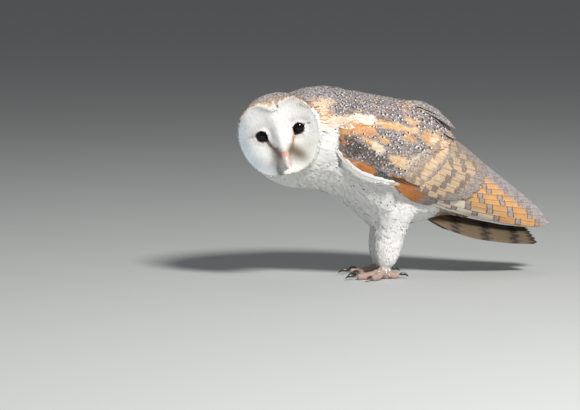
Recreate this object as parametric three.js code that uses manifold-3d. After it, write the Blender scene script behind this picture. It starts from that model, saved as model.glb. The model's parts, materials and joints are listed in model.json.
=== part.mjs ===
// A barn owl (Tyto alba), life size, as a still museum model: it leans forward on both feet with folded
// wings and looks over its left shoulder line. Millimetres, +Z up, the bird faces -X and its left is -Y.
// Every solid is the outer form of a part with its feathers, out to their tips. Parts are cut from shared
// outlines, so that they follow one another with a thin gap between them.
import * as THREE from "three";
import { mergeVertices } from "three/addons/utils/BufferGeometryUtils.js";
import Module from "manifold-3d";

const wasm = await Module();
wasm.setup();

const GAP = 0.35; // clearance left between neighbouring pieces
const LEFT = -1;
const RIGHT = 1;
const SIDES = [
  ["left", LEFT],
  ["right", RIGHT],
];
const degrees = Math.PI / 180;

// ---------------------------------------------------------------------------------------------------------
// Tools for outlines and closed surfaces

// A smooth line through [place, value] stations that never overshoots them. It is flat beyond its ends.
function through(...stations) {
  const last = stations.length - 1;
  const slope = (i) =>
    (stations[i + 1][1] - stations[i][1]) / (stations[i + 1][0] - stations[i][0]);
  const tangent = stations.map((_, i) => {
    if (i === 0) return slope(0);
    if (i === last) return slope(last - 1);
    const before = slope(i - 1);
    const after = slope(i);
    return before * after <= 0 ? 0 : (2 * before * after) / (before + after);
  });
  return (place) => {
    if (place <= stations[0][0]) return stations[0][1];
    if (place >= stations[last][0]) return stations[last][1];
    const i = stations.findIndex(([at]) => at > place) - 1;
    const width = stations[i + 1][0] - stations[i][0];
    const t = (place - stations[i][0]) / width;
    const t2 = t * t;
    const t3 = t2 * t;
    return (
      stations[i][1] * (2 * t3 - 3 * t2 + 1) +
      tangent[i] * width * (t3 - 2 * t2 + t) +
      stations[i + 1][1] * (3 * t2 - 2 * t3) +
      tangent[i + 1] * width * (t3 - t2)
    );
  };
}

const mix = (a, b, t) => a + (b - a) * t;
const bell = (x, width) => Math.exp(-((x / width) ** 2));
// Runs from 0 to 1 in steps that are finest at both ends, which rounds the ends of a loft.
const eased = (t) => (1 - Math.cos(Math.PI * t)) / 2;

// A closed surface of rings: point(t, j) gives the place at share t along the piece and share j round it.
// The ends close on the middle of the first and the last ring, which are left out where they are points.
function ringSurface(rings, around, point, flatEnds = false) {
  const places = [];
  const faces = [];
  const middle = (t) => {
    const sum = new THREE.Vector3();
    for (let j = 0; j < around; j++) sum.add(point(t, j / around));
    return sum.divideScalar(around);
  };
  const first = flatEnds ? 0 : 1;
  const last = flatEnds ? rings : rings - 1;
  places.push(middle(0));
  for (let i = first; i <= last; i++)
    for (let j = 0; j < around; j++) places.push(point(i / rings, j / around));
  places.push(middle(1));
  const at = (i, j) => 1 + (i - first) * around + (j % around);
  const end = places.length - 1;
  for (let j = 0; j < around; j++) {
    faces.push(0, at(first, j + 1), at(first, j));
    faces.push(end, at(last, j), at(last, j + 1));
    for (let i = first; i < last; i++) {
      faces.push(at(i, j), at(i, j + 1), at(i + 1, j));
      faces.push(at(i, j + 1), at(i + 1, j + 1), at(i + 1, j));
    }
  }
  const geometry = new THREE.BufferGeometry().setFromPoints(places);
  geometry.setIndex(faces);
  return geometry;
}

// A three.js geometry as a manifold-3d solid, turned right side out where its rings ran the other way.
function solid(geometry) {
  const bare = geometry.clone();
  bare.deleteAttribute("normal");
  bare.deleteAttribute("uv");
  const merged = mergeVertices(bare, 1e-4);
  const triVerts = new Uint32Array(merged.index.array);
  const vertProperties = new Float32Array(merged.attributes.position.array);
  const made = new wasm.Manifold(new wasm.Mesh({ numProp: 3, vertProperties, triVerts }));
  if (made.volume() > 0) return made;
  for (let i = 0; i < triVerts.length; i += 3)
    [triVerts[i + 1], triVerts[i + 2]] = [triVerts[i + 2], triVerts[i + 1]];
  return new wasm.Manifold(new wasm.Mesh({ numProp: 3, vertProperties, triVerts }));
}

// The largest body of a cut solid: a cut can leave thin slivers beside it.
function largest(made) {
  return made.decompose().reduce((a, b) => (a.volume() > b.volume() ? a : b));
}

// A side view outline in [x, z] points, pushed through the bird from one y to another.
function prism(outline, yFrom, yTo) {
  const shape = new THREE.Shape(outline.map(([x, z]) => new THREE.Vector2(x, z)));
  const depth = yTo - yFrom;
  const geometry = new THREE.ExtrudeGeometry(shape, { depth, bevelEnabled: false });
  geometry.applyMatrix4(
    new THREE.Matrix4().set(1, 0, 0, 0, 0, 0, -1, yTo, 0, 1, 0, 0, 0, 0, 0, 1),
  );
  return solid(geometry);
}

// ---------------------------------------------------------------------------------------------------------
// Materials

const paint = (color, roughness, metalness = 0) =>
  new THREE.MeshStandardMaterial({ color, roughness, metalness });
const FINISH = {
  white: paint(0xf1efea, 0.9),
  mantle: paint(0xb9a08a, 0.85),
  coverts: paint(0xc49a6a, 0.85),
  flight: paint(0xd9a866, 0.75),
  tail: paint(0xcbb494, 0.8),
  bill: paint(0xe5bfae, 0.45),
  eye: paint(0x0b0a0c, 0.08),
  toe: paint(0xb79c90, 0.7),
  claw: paint(0x2a2220, 0.35),
};

const bird = new THREE.Group();

function place(name, made, material) {
  const mesh = made.getMesh();
  const geometry = new THREE.BufferGeometry();
  geometry.setAttribute("position", new THREE.BufferAttribute(mesh.vertProperties, 3));
  geometry.setIndex(new THREE.BufferAttribute(mesh.triVerts, 1));
  const piece = new THREE.Mesh(geometry, material);
  piece.name = name;
  bird.add(piece);
}

// ---------------------------------------------------------------------------------------------------------
// The bird's outer form, from the throat at -X to the wing tips at +X

// Heights of the back line, of the widest place and of the keel, and the half width, all along x.
const BACK = through([-160, 168], [-150, 187], [-134, 201], [-118, 209], [-100, 216], [-84, 218.6],
  [-70, 219], [-52, 216.5], [-33, 212], [-16, 207.5], [0, 204], [20, 195], [40, 182], [60, 167],
  [84, 151.2], [95, 143.2], [126, 117.5], [156, 95.1], [185, 70.4], [197, 54.5]);
const WIDEST = through([-160, 150], [-134, 153], [-110, 156], [-50, 156], [-20, 150], [20, 136], [60, 114],
  [100, 90], [150, 67], [197, 53]);
const KEEL = through([-160, 137], [-150, 124], [-143, 118], [-134, 112.5], [-125, 108], [-116, 104.2],
  [-98, 102.8], [-83, 101.2], [-71, 98.3], [-61, 93.5], [-52, 87], [-41, 78.5], [-32, 71],
  [-25, 64.5], [-17, 56], [-6, 53], [12, 54.5], [24, 58.5], [34, 61], [47, 61.8], [56, 66],
  [76, 68], [100, 56], [150, 40], [197, 30]);
const HALF_WIDTH = through([-160, 8], [-150, 17], [-134, 28], [-116, 36], [-95, 42], [-72, 52], [-50, 60],
  [-20, 63.5], [10, 60], [40, 52.5], [70, 44], [100, 35.5], [130, 27.5], [160, 20], [185, 14],
  [197, 10]);
// The turned head pushes the neck's feathers out on the bird's right.
const NAPE_FULLNESS = through([-160, 8], [-150, 13], [-134, 14], [-120, 13], [-108, 10], [-88, 5],
  [-66, 0]);

// A place on the outer form's left or right side at station x. The angle runs from 0 on the back line
// over 90 degrees at the widest place to 180 under the keel; inset moves it towards the inside.
function formPoint(x, angle, side, inset = 0, back = BACK) {
  const middle = WIDEST(x);
  const height = angle < 90 * degrees ? back(x) - middle : middle - KEEL(x);
  const half = HALF_WIDTH(x) + (side === RIGHT ? NAPE_FULLNESS(x) : 0);
  return new THREE.Vector3(
    x,
    side * Math.max(half - inset, 0.5) * Math.sin(angle),
    middle + Math.max(height - inset, 0.5) * Math.cos(angle),
  );
}

// The angle at which the outer form has height z.
function angleAt(x, z, back = BACK) {
  const middle = WIDEST(x);
  const height = z > middle ? back(x) - middle : middle - KEEL(x);
  return Math.acos(THREE.MathUtils.clamp((z - middle) / height, -1, 1));
}

// A curved plate on one flank. edges(x) gives its upper and lower angle on the form, and skin(x, share)
// how far its outer and its inner face lie inside the form, share running down the plate. spacing sets
// where its rings lie and back which back line the form has at a place of the plate.
function flankPlate(side, { from, to, rows, across, spacing, edges, skin, back }) {
  return solid(
    ringSurface(rows, 2 * across, (t, j) => {
      const x = mix(from, to, spacing(t));
      const k = Math.round(j * 2 * across);
      const outside = k < across;
      const share = outside ? k / (across - 1) : (2 * across - 1 - k) / (across - 1);
      const [upper, lower] = edges(x);
      const [outer, inner] = skin(x, share);
      const inset = outside ? outer : inner;
      const p = formPoint(x, mix(upper, lower, share), side, inset, (at) => back(at, share));
      p.y = side * Math.max(side * p.y, GAP);
      return p;
    }),
  );
}

// ---------------------------------------------------------------------------------------------------------
// Torso: one loft from the throat to the rump, which neck and trunk are cut from

const TORSO_FRONT = -160;
const TORSO_REAR = 104;
// It lies inside the outer form where wings and shoulder feathers cover it.
const FLANK_COVER = through([-76, 0], [-62, 5], [-20, 7], [40, 5], [80, 3], [104, 2]);
const BACK_COVER = through([-42, 0], [-28, 8], [0, 10], [104, 8]);

function torso(grow = 0) {
  return solid(
    ringSurface(21, 18, (t, j) => {
      const x = mix(TORSO_FRONT - grow, TORSO_REAR + grow, eased(t));
      const angle = j * 360 * degrees;
      const side = j < 0.5 ? RIGHT : LEFT;
      const bend = side === RIGHT ? angle : 360 * degrees - angle;
      const cover = FLANK_COVER(x) * Math.sin(bend) ** 2 + BACK_COVER(x) * Math.max(0, Math.cos(bend));
      const p = formPoint(x, bend, side, cover - grow);
      // The rings shrink onto the middle line at both ends.
      const round = Math.min(1, Math.sqrt(Math.max(0, 1 - (2 * eased(t) - 1) ** 16)) * 1.02);
      return new THREE.Vector3(p.x, p.y * round, mix(WIDEST(x), p.z, round));
    }),
  );
}

// ---------------------------------------------------------------------------------------------------------
// Wings: a folded wing is a curved shell on the flank, from the wrist to the tip of the primaries

const WRIST = -73;
const WING_TIP = 197;
const WING_UPPER = through([-73, 166], [-70, 177], [-62, 186], [-47, 191], [-20, 186], [10, 178],
  [40, 169], [62, 161], [74, 156], [84, 152.5], [95, 145], [126, 119], [156, 96.5], [185, 72],
  [197, 56]);
const WING_LOWER = through([-73, 148], [-69, 138.5], [-65, 132.5], [-57, 124.5], [-46, 117.5],
  [-36, 113.8], [-25, 111], [-7, 109.5], [0, 101], [6, 95.5], [17, 90], [40, 83.3], [68, 75.2],
  [93, 67.5], [119, 59.4], [145, 54.3], [181, 51.8], [197, 52.6]);
const WING_THICK = through([-73, 9], [-40, 13], [0, 12], [40, 8], [80, 5], [130, 3], [180, 1.8],
  [197, 1.2]);

function wingShell(side, proud, grow = 0) {
  const widen = (x) => (grow * 1.5) / HALF_WIDTH(x);
  return flankPlate(side, {
    from: WRIST - grow,
    to: WING_TIP + grow,
    rows: 20,
    across: 7,
    spacing: (t) => t ** 1.25,
    back: BACK,
    edges: (x) => [angleAt(x, WING_UPPER(x)) - widen(x), angleAt(x, WING_LOWER(x)) + widen(x)],
    skin: (x, share) => {
      // The shell is fullest along its middle and thin at both edges.
      const fullness = mix(0.28, 1, Math.sqrt(Math.max(0, 1 - (2 * share - 1) ** 4)));
      return [-proud * fullness - grow, WING_THICK(x) * fullness + grow];
    },
  });
}

// Where the coverts end over the flight feathers, and the secondaries over the primaries, seen from the
// side: both run from the wing's lower edge up and back.
const COVERTS_END = [[2, 60], [4, 112], [8, 126], [28, 140], [58, 147], [86, 156], [96, 200]];
const SECONDARIES_END = [[-4, 60], [-2, 119], [34, 108], [58, 96], [76, 90], [90, 92], [101, 99],
  [110, 108], [122, 122], [128, 200]];

// The side view outline of all that lies in front of and above a boundary, widened by a margin.
const inFront = (line, margin) => [
  [-300, line[0][1] - margin],
  ...line.map(([x, z]) => [x + margin, z - margin]),
  [-300, line[line.length - 1][1]],
];
const WIDE = 200;
// The coverts lie this much over the outer form, and the secondaries over the primaries.
const COVERTS_PROUD = 1.6;
const SECONDARIES_PROUD = 0.6;

function wing(side, name) {
  const slab = (outline) =>
    side === LEFT ? prism(outline, -WIDE, 0) : prism(outline, 0, WIDE);
  const coverts = wingShell(side, COVERTS_PROUD).intersect(slab(inFront(COVERTS_END, 0)));
  const secondaries = wingShell(side, SECONDARIES_PROUD)
    .subtract(slab(inFront(COVERTS_END, GAP)))
    .intersect(slab(inFront(SECONDARIES_END, 0)));
  const primaries = wingShell(side, 0)
    .subtract(slab(inFront(COVERTS_END, GAP)))
    .subtract(slab(inFront(SECONDARIES_END, GAP)));
  place(`wing_${name}_coverts`, largest(coverts), FINISH.coverts);
  place(`wing_${name}_secondaries`, largest(secondaries), FINISH.flight);
  place(`wing_${name}_primaries`, largest(primaries), FINISH.flight);
}

// ---------------------------------------------------------------------------------------------------------
// Scapulars: the long shoulder feathers that lie over the wing's upper edge, their ends lifted in a hump

const SCAPULARS_FRONT = -57;
const SCAPULARS_REAR = 81;
const SCAPULAR_TOP = through([-57, 206], [-40, 209.5], [-20, 205.5], [0, 202], [20, 198.5], [42, 195],
  [48, 189.5], [57, 182.5], [66, 174], [76, 165], [81, 160]);
const SCAPULAR_EDGE = through([-57, 190], [-47, 186.5], [-20, 179.5], [10, 171.5], [40, 162.5], [62, 154.5],
  [81, 147]);
const SCAPULAR_PROUD = 3.3;
const SCAPULAR_DEPTH = 16;
// The longest ones stand off the back one behind another, their pointed ends in steps over the wing: where
// each starts and ends on its own side, how far its middle is raised over a straight line between them,
// and half its width.
const LONG_SCAPULARS = {
  left: [
    { root: [4, 14, 194], tip: [48.5, 16.5, 193.5], arch: 3.6, halfWidth: 5.4 },
    { root: [22, 15, 196], tip: [76.5, 19, 167.5], arch: 5.4, halfWidth: 5.8 },
  ],
  right: [
    { root: [0, 14, 190], tip: [44, 16.5, 189], arch: 3, halfWidth: 5.4 },
    { root: [20, 15, 186], tip: [70, 19, 166], arch: 4, halfWidth: 5.8 },
  ],
};
const LONG_SCAPULAR_THICK = 2.6;
const LONG_SCAPULAR_OUTLINE = through([0, 0.5], [0.35, 1], [0.75, 0.95], [0.9, 0.62], [1, 0]);

function longScapular(side, { root, tip, arch, halfWidth }) {
  const start = new THREE.Vector3(root[0], side * root[1], root[2]);
  const end = new THREE.Vector3(tip[0], side * tip[1], tip[2]);
  const heading = end.clone().sub(start).normalize();
  // Each faces up and outwards.
  const facing = new THREE.Vector3(0.25, 0.62 * side, 0.75);
  facing.addScaledVector(heading, -facing.dot(heading)).normalize();
  const across = new THREE.Vector3().crossVectors(heading, facing);
  return solid(
    ringSurface(6, 6, (t, j) => {
      const angle = j * 360 * degrees;
      const share = Math.sqrt(t);
      const outline = LONG_SCAPULAR_OUTLINE(share);
      const p = start.clone().lerp(end, share);
      p.addScaledVector(across, halfWidth * outline * Math.cos(angle));
      return p.addScaledVector(
        facing,
        4 * arch * share * (1 - share) +
          (LONG_SCAPULAR_THICK / 2) * Math.sqrt(outline) * Math.sin(angle),
      );
    }),
  );
}

function scapulars(side, name, body) {
  const plate = flankPlate(side, {
    from: SCAPULARS_FRONT,
    to: SCAPULARS_REAR,
    rows: 12,
    across: 5,
    spacing: (t) => (t + eased(t)) / 2,
    // Their upper rows stand in the hump, and their lower edge lies close on the wing.
    back: (x, share) => mix(SCAPULAR_TOP(x), BACK(x), share ** 1.5),
    edges: (x) => [0, angleAt(x, SCAPULAR_EDGE(x))],
    skin: () => [-SCAPULAR_PROUD, SCAPULAR_DEPTH],
  });
  const whole = LONG_SCAPULARS[name].reduce((made, one) => made.add(longScapular(side, one)), plate);
  const clear = whole.subtract(body).subtract(wingShell(side, COVERTS_PROUD, GAP));
  place(`scapulars_${name}`, largest(clear), FINISH.mantle);
}

// ---------------------------------------------------------------------------------------------------------
// Tail: twelve feathers folded into a low roof, its outer feathers hanging at the sides

const TAIL_ROOT = 48;
const TAIL_LENGTH = 128.5;
const TAIL_HEIGHT = through([48, 84], [75, 72.5], [100, 63.5], [140, 54.8], [177, 50]);
const TAIL_HALF_WIDTH = through([48, 14], [75, 20], [110, 24], [150, 25.5], [177, 25.5]);
const TAIL_DROP = through([0, 17], [0.2, 20.5], [0.5, 19], [1, 15]); // its outer feathers hang this low
const TAIL_NOTCH = 6; // the middle feathers end this much before the outer ones

function tail(grow = 0) {
  const across = 7;
  return solid(
    ringSurface(
      9,
      2 * across,
      (t, j) => {
        const k = Math.round(j * 2 * across);
        const upper = k < across;
        const share = upper ? k / (across - 1) : (2 * across - 1 - k) / (across - 1);
        const s = 2 * share - 1; // from -1 on one edge to 1 on the other
        const reach = TAIL_LENGTH - TAIL_NOTCH * (1 - s * s);
        const x = TAIL_ROOT - grow + (reach + 2 * grow) * t;
        const thick = mix(6, 1.3, t) * mix(0.55, 1, Math.sqrt(1 - s ** 4)) + 2 * grow;
        const drop = TAIL_DROP(t) * (Math.sqrt(0.15 + s * s) - 0.387) * 1.46;
        return new THREE.Vector3(
          x,
          s * (TAIL_HALF_WIDTH(x) + grow),
          TAIL_HEIGHT(x) - drop + (upper ? thick / 2 : -thick / 2),
        );
      },
      true,
    ),
  );
}

// ---------------------------------------------------------------------------------------------------------
// Head: it faces over the bird's left side, level, with its crown leaning towards the front

const HEAD_PLACE = new THREE.Vector3(-136.9, -50.5, 169.5); // between the eyes, on the plane of the face
const HEAD_TURN = 75; // from the way the body faces, in degrees
const HEAD_NOD = 4;
const HEAD_LEAN = 13.3;
const HEAD_DEPTH = 76;
const EYE_APART = 20.75; // each eye's place beside the middle
const DISC_RADIUS = 45.5;
const DISC_SIDE = -1.7; // the face's centre, beside and below the middle of the eyes
const DISC_MIDDLE = -2.7;

// The head's own axes: side is its left, up its crown and front the way it looks.
const HEAD = (() => {
  const turn = HEAD_TURN * degrees;
  const nod = HEAD_NOD * degrees;
  const lean = HEAD_LEAN * degrees;
  const level = new THREE.Vector3(-Math.cos(turn), -Math.sin(turn), 0);
  const upright = new THREE.Vector3(0, 0, 1);
  const front = level.clone().multiplyScalar(Math.cos(nod)).addScaledVector(upright, -Math.sin(nod));
  const across = new THREE.Vector3(Math.sin(turn), -Math.cos(turn), 0);
  const crown = new THREE.Vector3().crossVectors(front, across);
  const side = across.clone().multiplyScalar(Math.cos(lean)).addScaledVector(crown, Math.sin(lean));
  const up = crown.clone().multiplyScalar(Math.cos(lean)).addScaledVector(across, -Math.sin(lean));
  return { side, up, front };
})();

function headPoint(side, up, front) {
  return HEAD_PLACE.clone()
    .addScaledVector(HEAD.side, side)
    .addScaledVector(HEAD.up, up)
    .addScaledVector(HEAD.front, front);
}

// The heart-shaped rim of the face at an angle round its centre, 0 at the bird's left and 90 on top: the
// circle is notched on top, fullest beside the notch, and a little fuller on each side of the bill.
function rimRadius(angle) {
  const fromTop = Math.abs((((angle / degrees + 90) % 360) + 360) % 360 - 180);
  return (
    DISC_RADIUS -
    17.5 * bell(fromTop, 23) +
    1.2 * bell(fromTop - 38, 20) +
    1.3 * bell(fromTop - 66, 24) -
    2 * bell(180 - fromTop, 12) +
    1.3 * bell(180 - fromTop - 36, 22)
  );
}

// The ridge between the two hollows of the face: its height and half width along the face.
const RIDGE_HEIGHT = through([-50, -1], [-44, -5], [-34, -4], [-24, 3.5], [-14, 4], [4, 0], [24, -2],
  [40, -1.5]);
const RIDGE_HALF_WIDTH = through([-44, 14], [-24, 9], [-10, 9.5], [6, 11.5], [24, 11.5], [40, 9]);
const HOLLOW_DEPTH = 9;

// How far forward the face stands at a place beside and above the middle of the eyes, at share rho of
// the way from its centre to the rim.
function faceRelief(side, up, rho) {
  const aside = (side - DISC_SIDE) / DISC_RADIUS;
  const above = Math.max(0, up - DISC_MIDDLE) / DISC_RADIUS;
  const leanBack = -5 * aside ** 2 - 5 * above ** 2;
  const hollow = -HOLLOW_DEPTH * (1 - rho ** 3);
  return leanBack + mix(hollow, RIDGE_HEIGHT(up), bell(side, RIDGE_HALF_WIDTH(up)) * (1 - rho ** 8));
}

function head(grow = 0) {
  const faceRings = 9;
  const backRings = 7;
  const rings = faceRings + backRings;
  return solid(
    ringSurface(rings, 32, (t, j) => {
      // More of the rings' places lie near the ridge, over and under the face's middle.
      const angle = j * 360 * degrees + 0.34 * Math.sin(j * 720 * degrees);
      const rim = rimRadius(angle);
      const ring = t * rings;
      if (ring <= faceRings) {
        const rho = ring / faceRings;
        const reach = rim * rho + (rho > 0.95 ? grow : 0);
        const side = Math.cos(angle) * reach + DISC_SIDE;
        const up = Math.sin(angle) * reach + DISC_MIDDLE;
        return headPoint(side, up, faceRelief(side, up, rho) + grow);
      }
      // Behind the rim the notch on top fills out at once, and the skull rounds off to the nape.
      const back = (ring - faceRings) / backRings;
      const bend = back * 90 * degrees;
      const radius = mix(rim, DISC_RADIUS + 2, THREE.MathUtils.smoothstep(back, 0, 0.3));
      const round = radius * Math.cos(bend) ** 0.72 + grow;
      const rimDepth = faceRelief(
        Math.cos(angle) * rim + DISC_SIDE,
        Math.sin(angle) * rim + DISC_MIDDLE,
        1,
      );
      return headPoint(
        Math.cos(angle) * round + DISC_SIDE,
        Math.sin(angle) * round + DISC_MIDDLE + 3 * Math.sin(bend),
        mix(rimDepth, -HEAD_DEPTH - grow, Math.sin(bend) ** 1.25),
      );
    }),
  );
}

// Eyes: black globes set into the face, of which a round front shows.
const EYE_RADIUS = 8.2;
const EYE_DEPTH = -15.2; // their middles, behind the plane of the face

function eye(side, grow = 0) {
  const globe = new THREE.SphereGeometry(EYE_RADIUS + grow, 12, 7);
  const middle = headPoint(-side * EYE_APART, 0, EYE_DEPTH);
  globe.translate(middle.x, middle.y, middle.z);
  return solid(globe);
}

// Bill: each half is a horn that narrows along its own curve, in the head's up and front directions.
function billHorn(curve, halfWidth, halfHeight, grow = 0) {
  return solid(
    ringSurface(8, 8, (t, j) => {
      const along = t;
      const middle = curve.getPoint(along);
      const heading = curve.getTangent(along);
      const angle = j * 360 * degrees;
      const round = Math.sqrt(Math.max(0, 1 - (2 * Math.max(0.5, 1 - t * 5) - 1) ** 2));
      const wide = (halfWidth(along) * round + grow) * Math.cos(angle);
      const high = (halfHeight(along) * round + grow) * Math.sin(angle);
      return headPoint(wide, middle.x - heading.y * high, middle.y + heading.x * high);
    }),
  );
}

// Where each half runs, in the head's up and front directions, from inside the face to its tip.
const UPPER_CURVE = new THREE.QuadraticBezierCurve(
  new THREE.Vector2(-20, -4),
  new THREE.Vector2(-29, 13),
  new THREE.Vector2(-41, 8.5),
);
const upperBill = (grow) =>
  billHorn(
    UPPER_CURVE,
    through([0, 4.8], [0.35, 4.8], [0.65, 3.3], [0.85, 1.7], [1, 0.4]),
    through([0, 5], [0.35, 5], [0.7, 3.4], [1, 0.6]),
    grow,
  );
const LOWER_CURVE = new THREE.QuadraticBezierCurve(
  new THREE.Vector2(-28, -6),
  new THREE.Vector2(-34, 0),
  new THREE.Vector2(-38.5, 1.5),
);
const lowerBill = (grow) =>
  billHorn(
    LOWER_CURVE,
    through([0, 3.8], [0.5, 3.3], [1, 1.1]),
    through([0, 2.4], [0.5, 2.1], [1, 0.7]),
    grow,
  );

// ---------------------------------------------------------------------------------------------------------
// Legs: a feathered thigh and shank over bare toes, each foot flat on the floor

const STANCE = 22; // each leg's distance from the middle
const LEG_SHIFT = { left: 0, right: 6 }; // the right foot stands a little further back
const KNEE_HEIGHT = 45; // of the thin cut between thigh and shank
const ANKLE_HEIGHT = 12.5; // of the thin cut between shank and foot

const LEG_FORWARD = through([6, -7], [12, -6], [17, -5], [23, -4], [30, -4], [41, -2.3], [55, 0.5],
  [70, 4], [100, 8]);
const LEG_ALONG = through([6, 6], [12, 7], [17, 10], [23, 13.3], [30, 14.8], [41, 16.3], [55, 17.5],
  [80, 27], [100, 29]);
const LEG_ACROSS = through([6, 6], [12, 7], [17, 9.3], [23, 11.5], [32, 13], [45, 14], [60, 17],
  [80, 21], [100, 22]);
const LEG_BOTTOM = 8;
const LEG_TOP = 98;

function leg(side, shift) {
  return solid(
    ringSurface(11, 12, (t, j) => {
      const z = mix(LEG_BOTTOM, LEG_TOP, t);
      const angle = j * 360 * degrees;
      return new THREE.Vector3(
        LEG_FORWARD(z) + shift + LEG_ALONG(z) * Math.cos(angle),
        side * STANCE + LEG_ACROSS(z) * Math.sin(angle),
        z,
      );
    }),
  );
}

// What lies between two heights, over the whole floor.
const layer = (low, high) =>
  prism([[-WIDE, low], [WIDE, low], [WIDE, high], [-WIDE, high]], -WIDE, WIDE);

// Toes: name, length without the claw, direction from straight ahead towards the outside, claw length.
const TOES = [
  ["inner", 29, -24, 17],
  ["middle", 34, 4, 17],
  ["outer", 27, 42, 15],
  ["hind", 17, 172, 14],
];
const TOE_RADIUS = 4.4;
const ANKLE_FORWARD = -7.5;
// Height of a toe's middle along it: the sole is flat on the floor from the toe's middle on.
const TOE_HEIGHT = through([0, 10], [0.25, 6.4], [0.45, 3.3], [0.8, 2.7], [1, 3.2]);

// A direction on the floor for a toe that points this many degrees outwards from straight ahead.
function toeDirection(side, outward) {
  const turn = outward * degrees;
  return new THREE.Vector3(-Math.cos(turn), side * Math.sin(turn), 0);
}

function toe(side, shift, length, outward) {
  const heading = toeDirection(side, outward);
  const sideways = new THREE.Vector3(-heading.y, heading.x, 0);
  const ankle = new THREE.Vector3(ANKLE_FORWARD + shift, side * STANCE, 0);
  return solid(
    ringSurface(6, 8, (t, j) => {
      const angle = j * 360 * degrees;
      // Three pads under the toe, with a narrower joint between each two.
      const pads = 1 + 0.1 * Math.cos(t * 6 * Math.PI + Math.PI);
      const round = Math.sqrt(Math.max(0, 1 - (2 * eased(t) - 1) ** 12));
      const radius = TOE_RADIUS * mix(1.1, 0.86, t) * pads * round;
      const p = ankle.clone().addScaledVector(heading, length * eased(t));
      p.addScaledVector(sideways, radius * Math.cos(angle));
      p.z = Math.max(0, TOE_HEIGHT(eased(t)) + radius * 1.08 * Math.sin(angle));
      return p;
    }),
  );
}

// Claws: each starts on its toe's end and curves down to a point just clear of the floor.
function claw(side, shift, length, outward, clawLength) {
  const heading = toeDirection(side, outward);
  const sideways = new THREE.Vector3(-heading.y, heading.x, 0);
  const start = new THREE.Vector3(ANKLE_FORWARD + shift, side * STANCE, 0).addScaledVector(
    heading,
    length + GAP - 1.2,
  );
  const curve = new THREE.QuadraticBezierCurve(
    new THREE.Vector2(0, 4.3),
    new THREE.Vector2(clawLength * 0.62, 7.4),
    new THREE.Vector2(clawLength * 0.86, 1.1),
  );
  const radius = through([0, 2.4], [0.5, 1.75], [1, 0.3]);
  return solid(
    ringSurface(5, 6, (t, j) => {
      const angle = j * 360 * degrees;
      const middle = curve.getPoint(t);
      const along = curve.getTangent(t);
      const r = radius(t);
      const p = start.clone().addScaledVector(heading, middle.x - along.y * r * Math.sin(angle));
      p.z = Math.max(0.4, middle.y + along.x * r * Math.sin(angle));
      return p.addScaledVector(sideways, r * 0.85 * Math.cos(angle));
    }),
  );
}

function foot(side, shift) {
  const pad = solid(
    ringSurface(5, 8, (t, j) => {
      const angle = j * 360 * degrees;
      const bend = t * 180 * degrees;
      return new THREE.Vector3(
        ANKLE_FORWARD + shift + 6.6 * Math.sin(bend) * Math.cos(angle),
        side * (STANCE + 6 * Math.sin(bend) * Math.sin(angle)),
        Math.max(0, 7 - 8 * Math.cos(bend)),
      );
    }),
  );
  return TOES.reduce(
    (made, [, length, outward]) => made.add(toe(side, shift, length, outward)),
    pad,
  );
}

// ---------------------------------------------------------------------------------------------------------
// Assembly: each part is cut clear of those that it carries

const headSolid = head();
const headClear = head(GAP);
const upper = upperBill(0);
const lower = lowerBill(0).subtract(upperBill(GAP));
place("bill_upper", upper, FINISH.bill);
place("bill_lower", largest(lower), FINISH.bill);

let face = headSolid.subtract(upperBill(GAP)).subtract(lowerBill(GAP));
for (const [name, side] of SIDES) {
  face = face.subtract(eye(side, GAP));
  place(`eye_${name}`, eye(side), FINISH.eye);
}
place("head", largest(face), FINISH.white);

const tailClear = tail(GAP);
const bodyClear = torso(GAP);
let body = torso().subtract(headClear).subtract(tailClear);
for (const [name, side] of SIDES) {
  wing(side, name);
  body = body.subtract(wingShell(side, COVERTS_PROUD, GAP));
  scapulars(side, name, bodyClear);
}
place("tail", tail(), FINISH.tail);

// The neck is parted from the trunk by a thin slanting cut in front of the wings.
const NECK_CUT = [[-76, 260], [-86, 60]];
const neckOutline = (shift) => [
  [-300, 60],
  [NECK_CUT[1][0] + shift, NECK_CUT[1][1]],
  [NECK_CUT[0][0] + shift, NECK_CUT[0][1]],
  [-300, 260],
];
place("neck", largest(body.intersect(prism(neckOutline(0), -WIDE, WIDE))), FINISH.white);
place("trunk", largest(body.subtract(prism(neckOutline(GAP), -WIDE, WIDE))), FINISH.white);

for (const [name, side] of SIDES) {
  const shift = LEG_SHIFT[name];
  const limb = leg(side, shift);
  const thigh = limb.intersect(layer(KNEE_HEIGHT + GAP, LEG_TOP)).subtract(bodyClear);
  const shank = limb.intersect(layer(ANKLE_HEIGHT + GAP, KNEE_HEIGHT));
  const feet = foot(side, shift).intersect(layer(-1, ANKLE_HEIGHT));
  place(`thigh_${name}`, largest(thigh), FINISH.white);
  place(`shank_${name}`, largest(shank), FINISH.white);
  place(`foot_${name}`, largest(feet), FINISH.toe);
  for (const [toeName, length, outward, clawLength] of TOES) {
    const horn = claw(side, shift, length, outward, clawLength).subtract(feet);
    place(`claw_${name}_${toeName}`, largest(horn), FINISH.claw);
  }
}

// The origin is on the floor, under the middle of the whole bird.
const bounds = new THREE.Box3().setFromObject(bird);
bird.position.set(
  -(bounds.min.x + bounds.max.x) / 2,
  -(bounds.min.y + bounds.max.y) / 2,
  -bounds.min.z,
);

export default bird;
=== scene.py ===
"""The looks of a life-size barn owl that leans forward on both feet and turns its face to the side."""
import json
import math

import bmesh
import bpy
import numpy as np
from mathutils import Matrix, Vector
from mathutils.bvhtree import BVHTree

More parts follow.
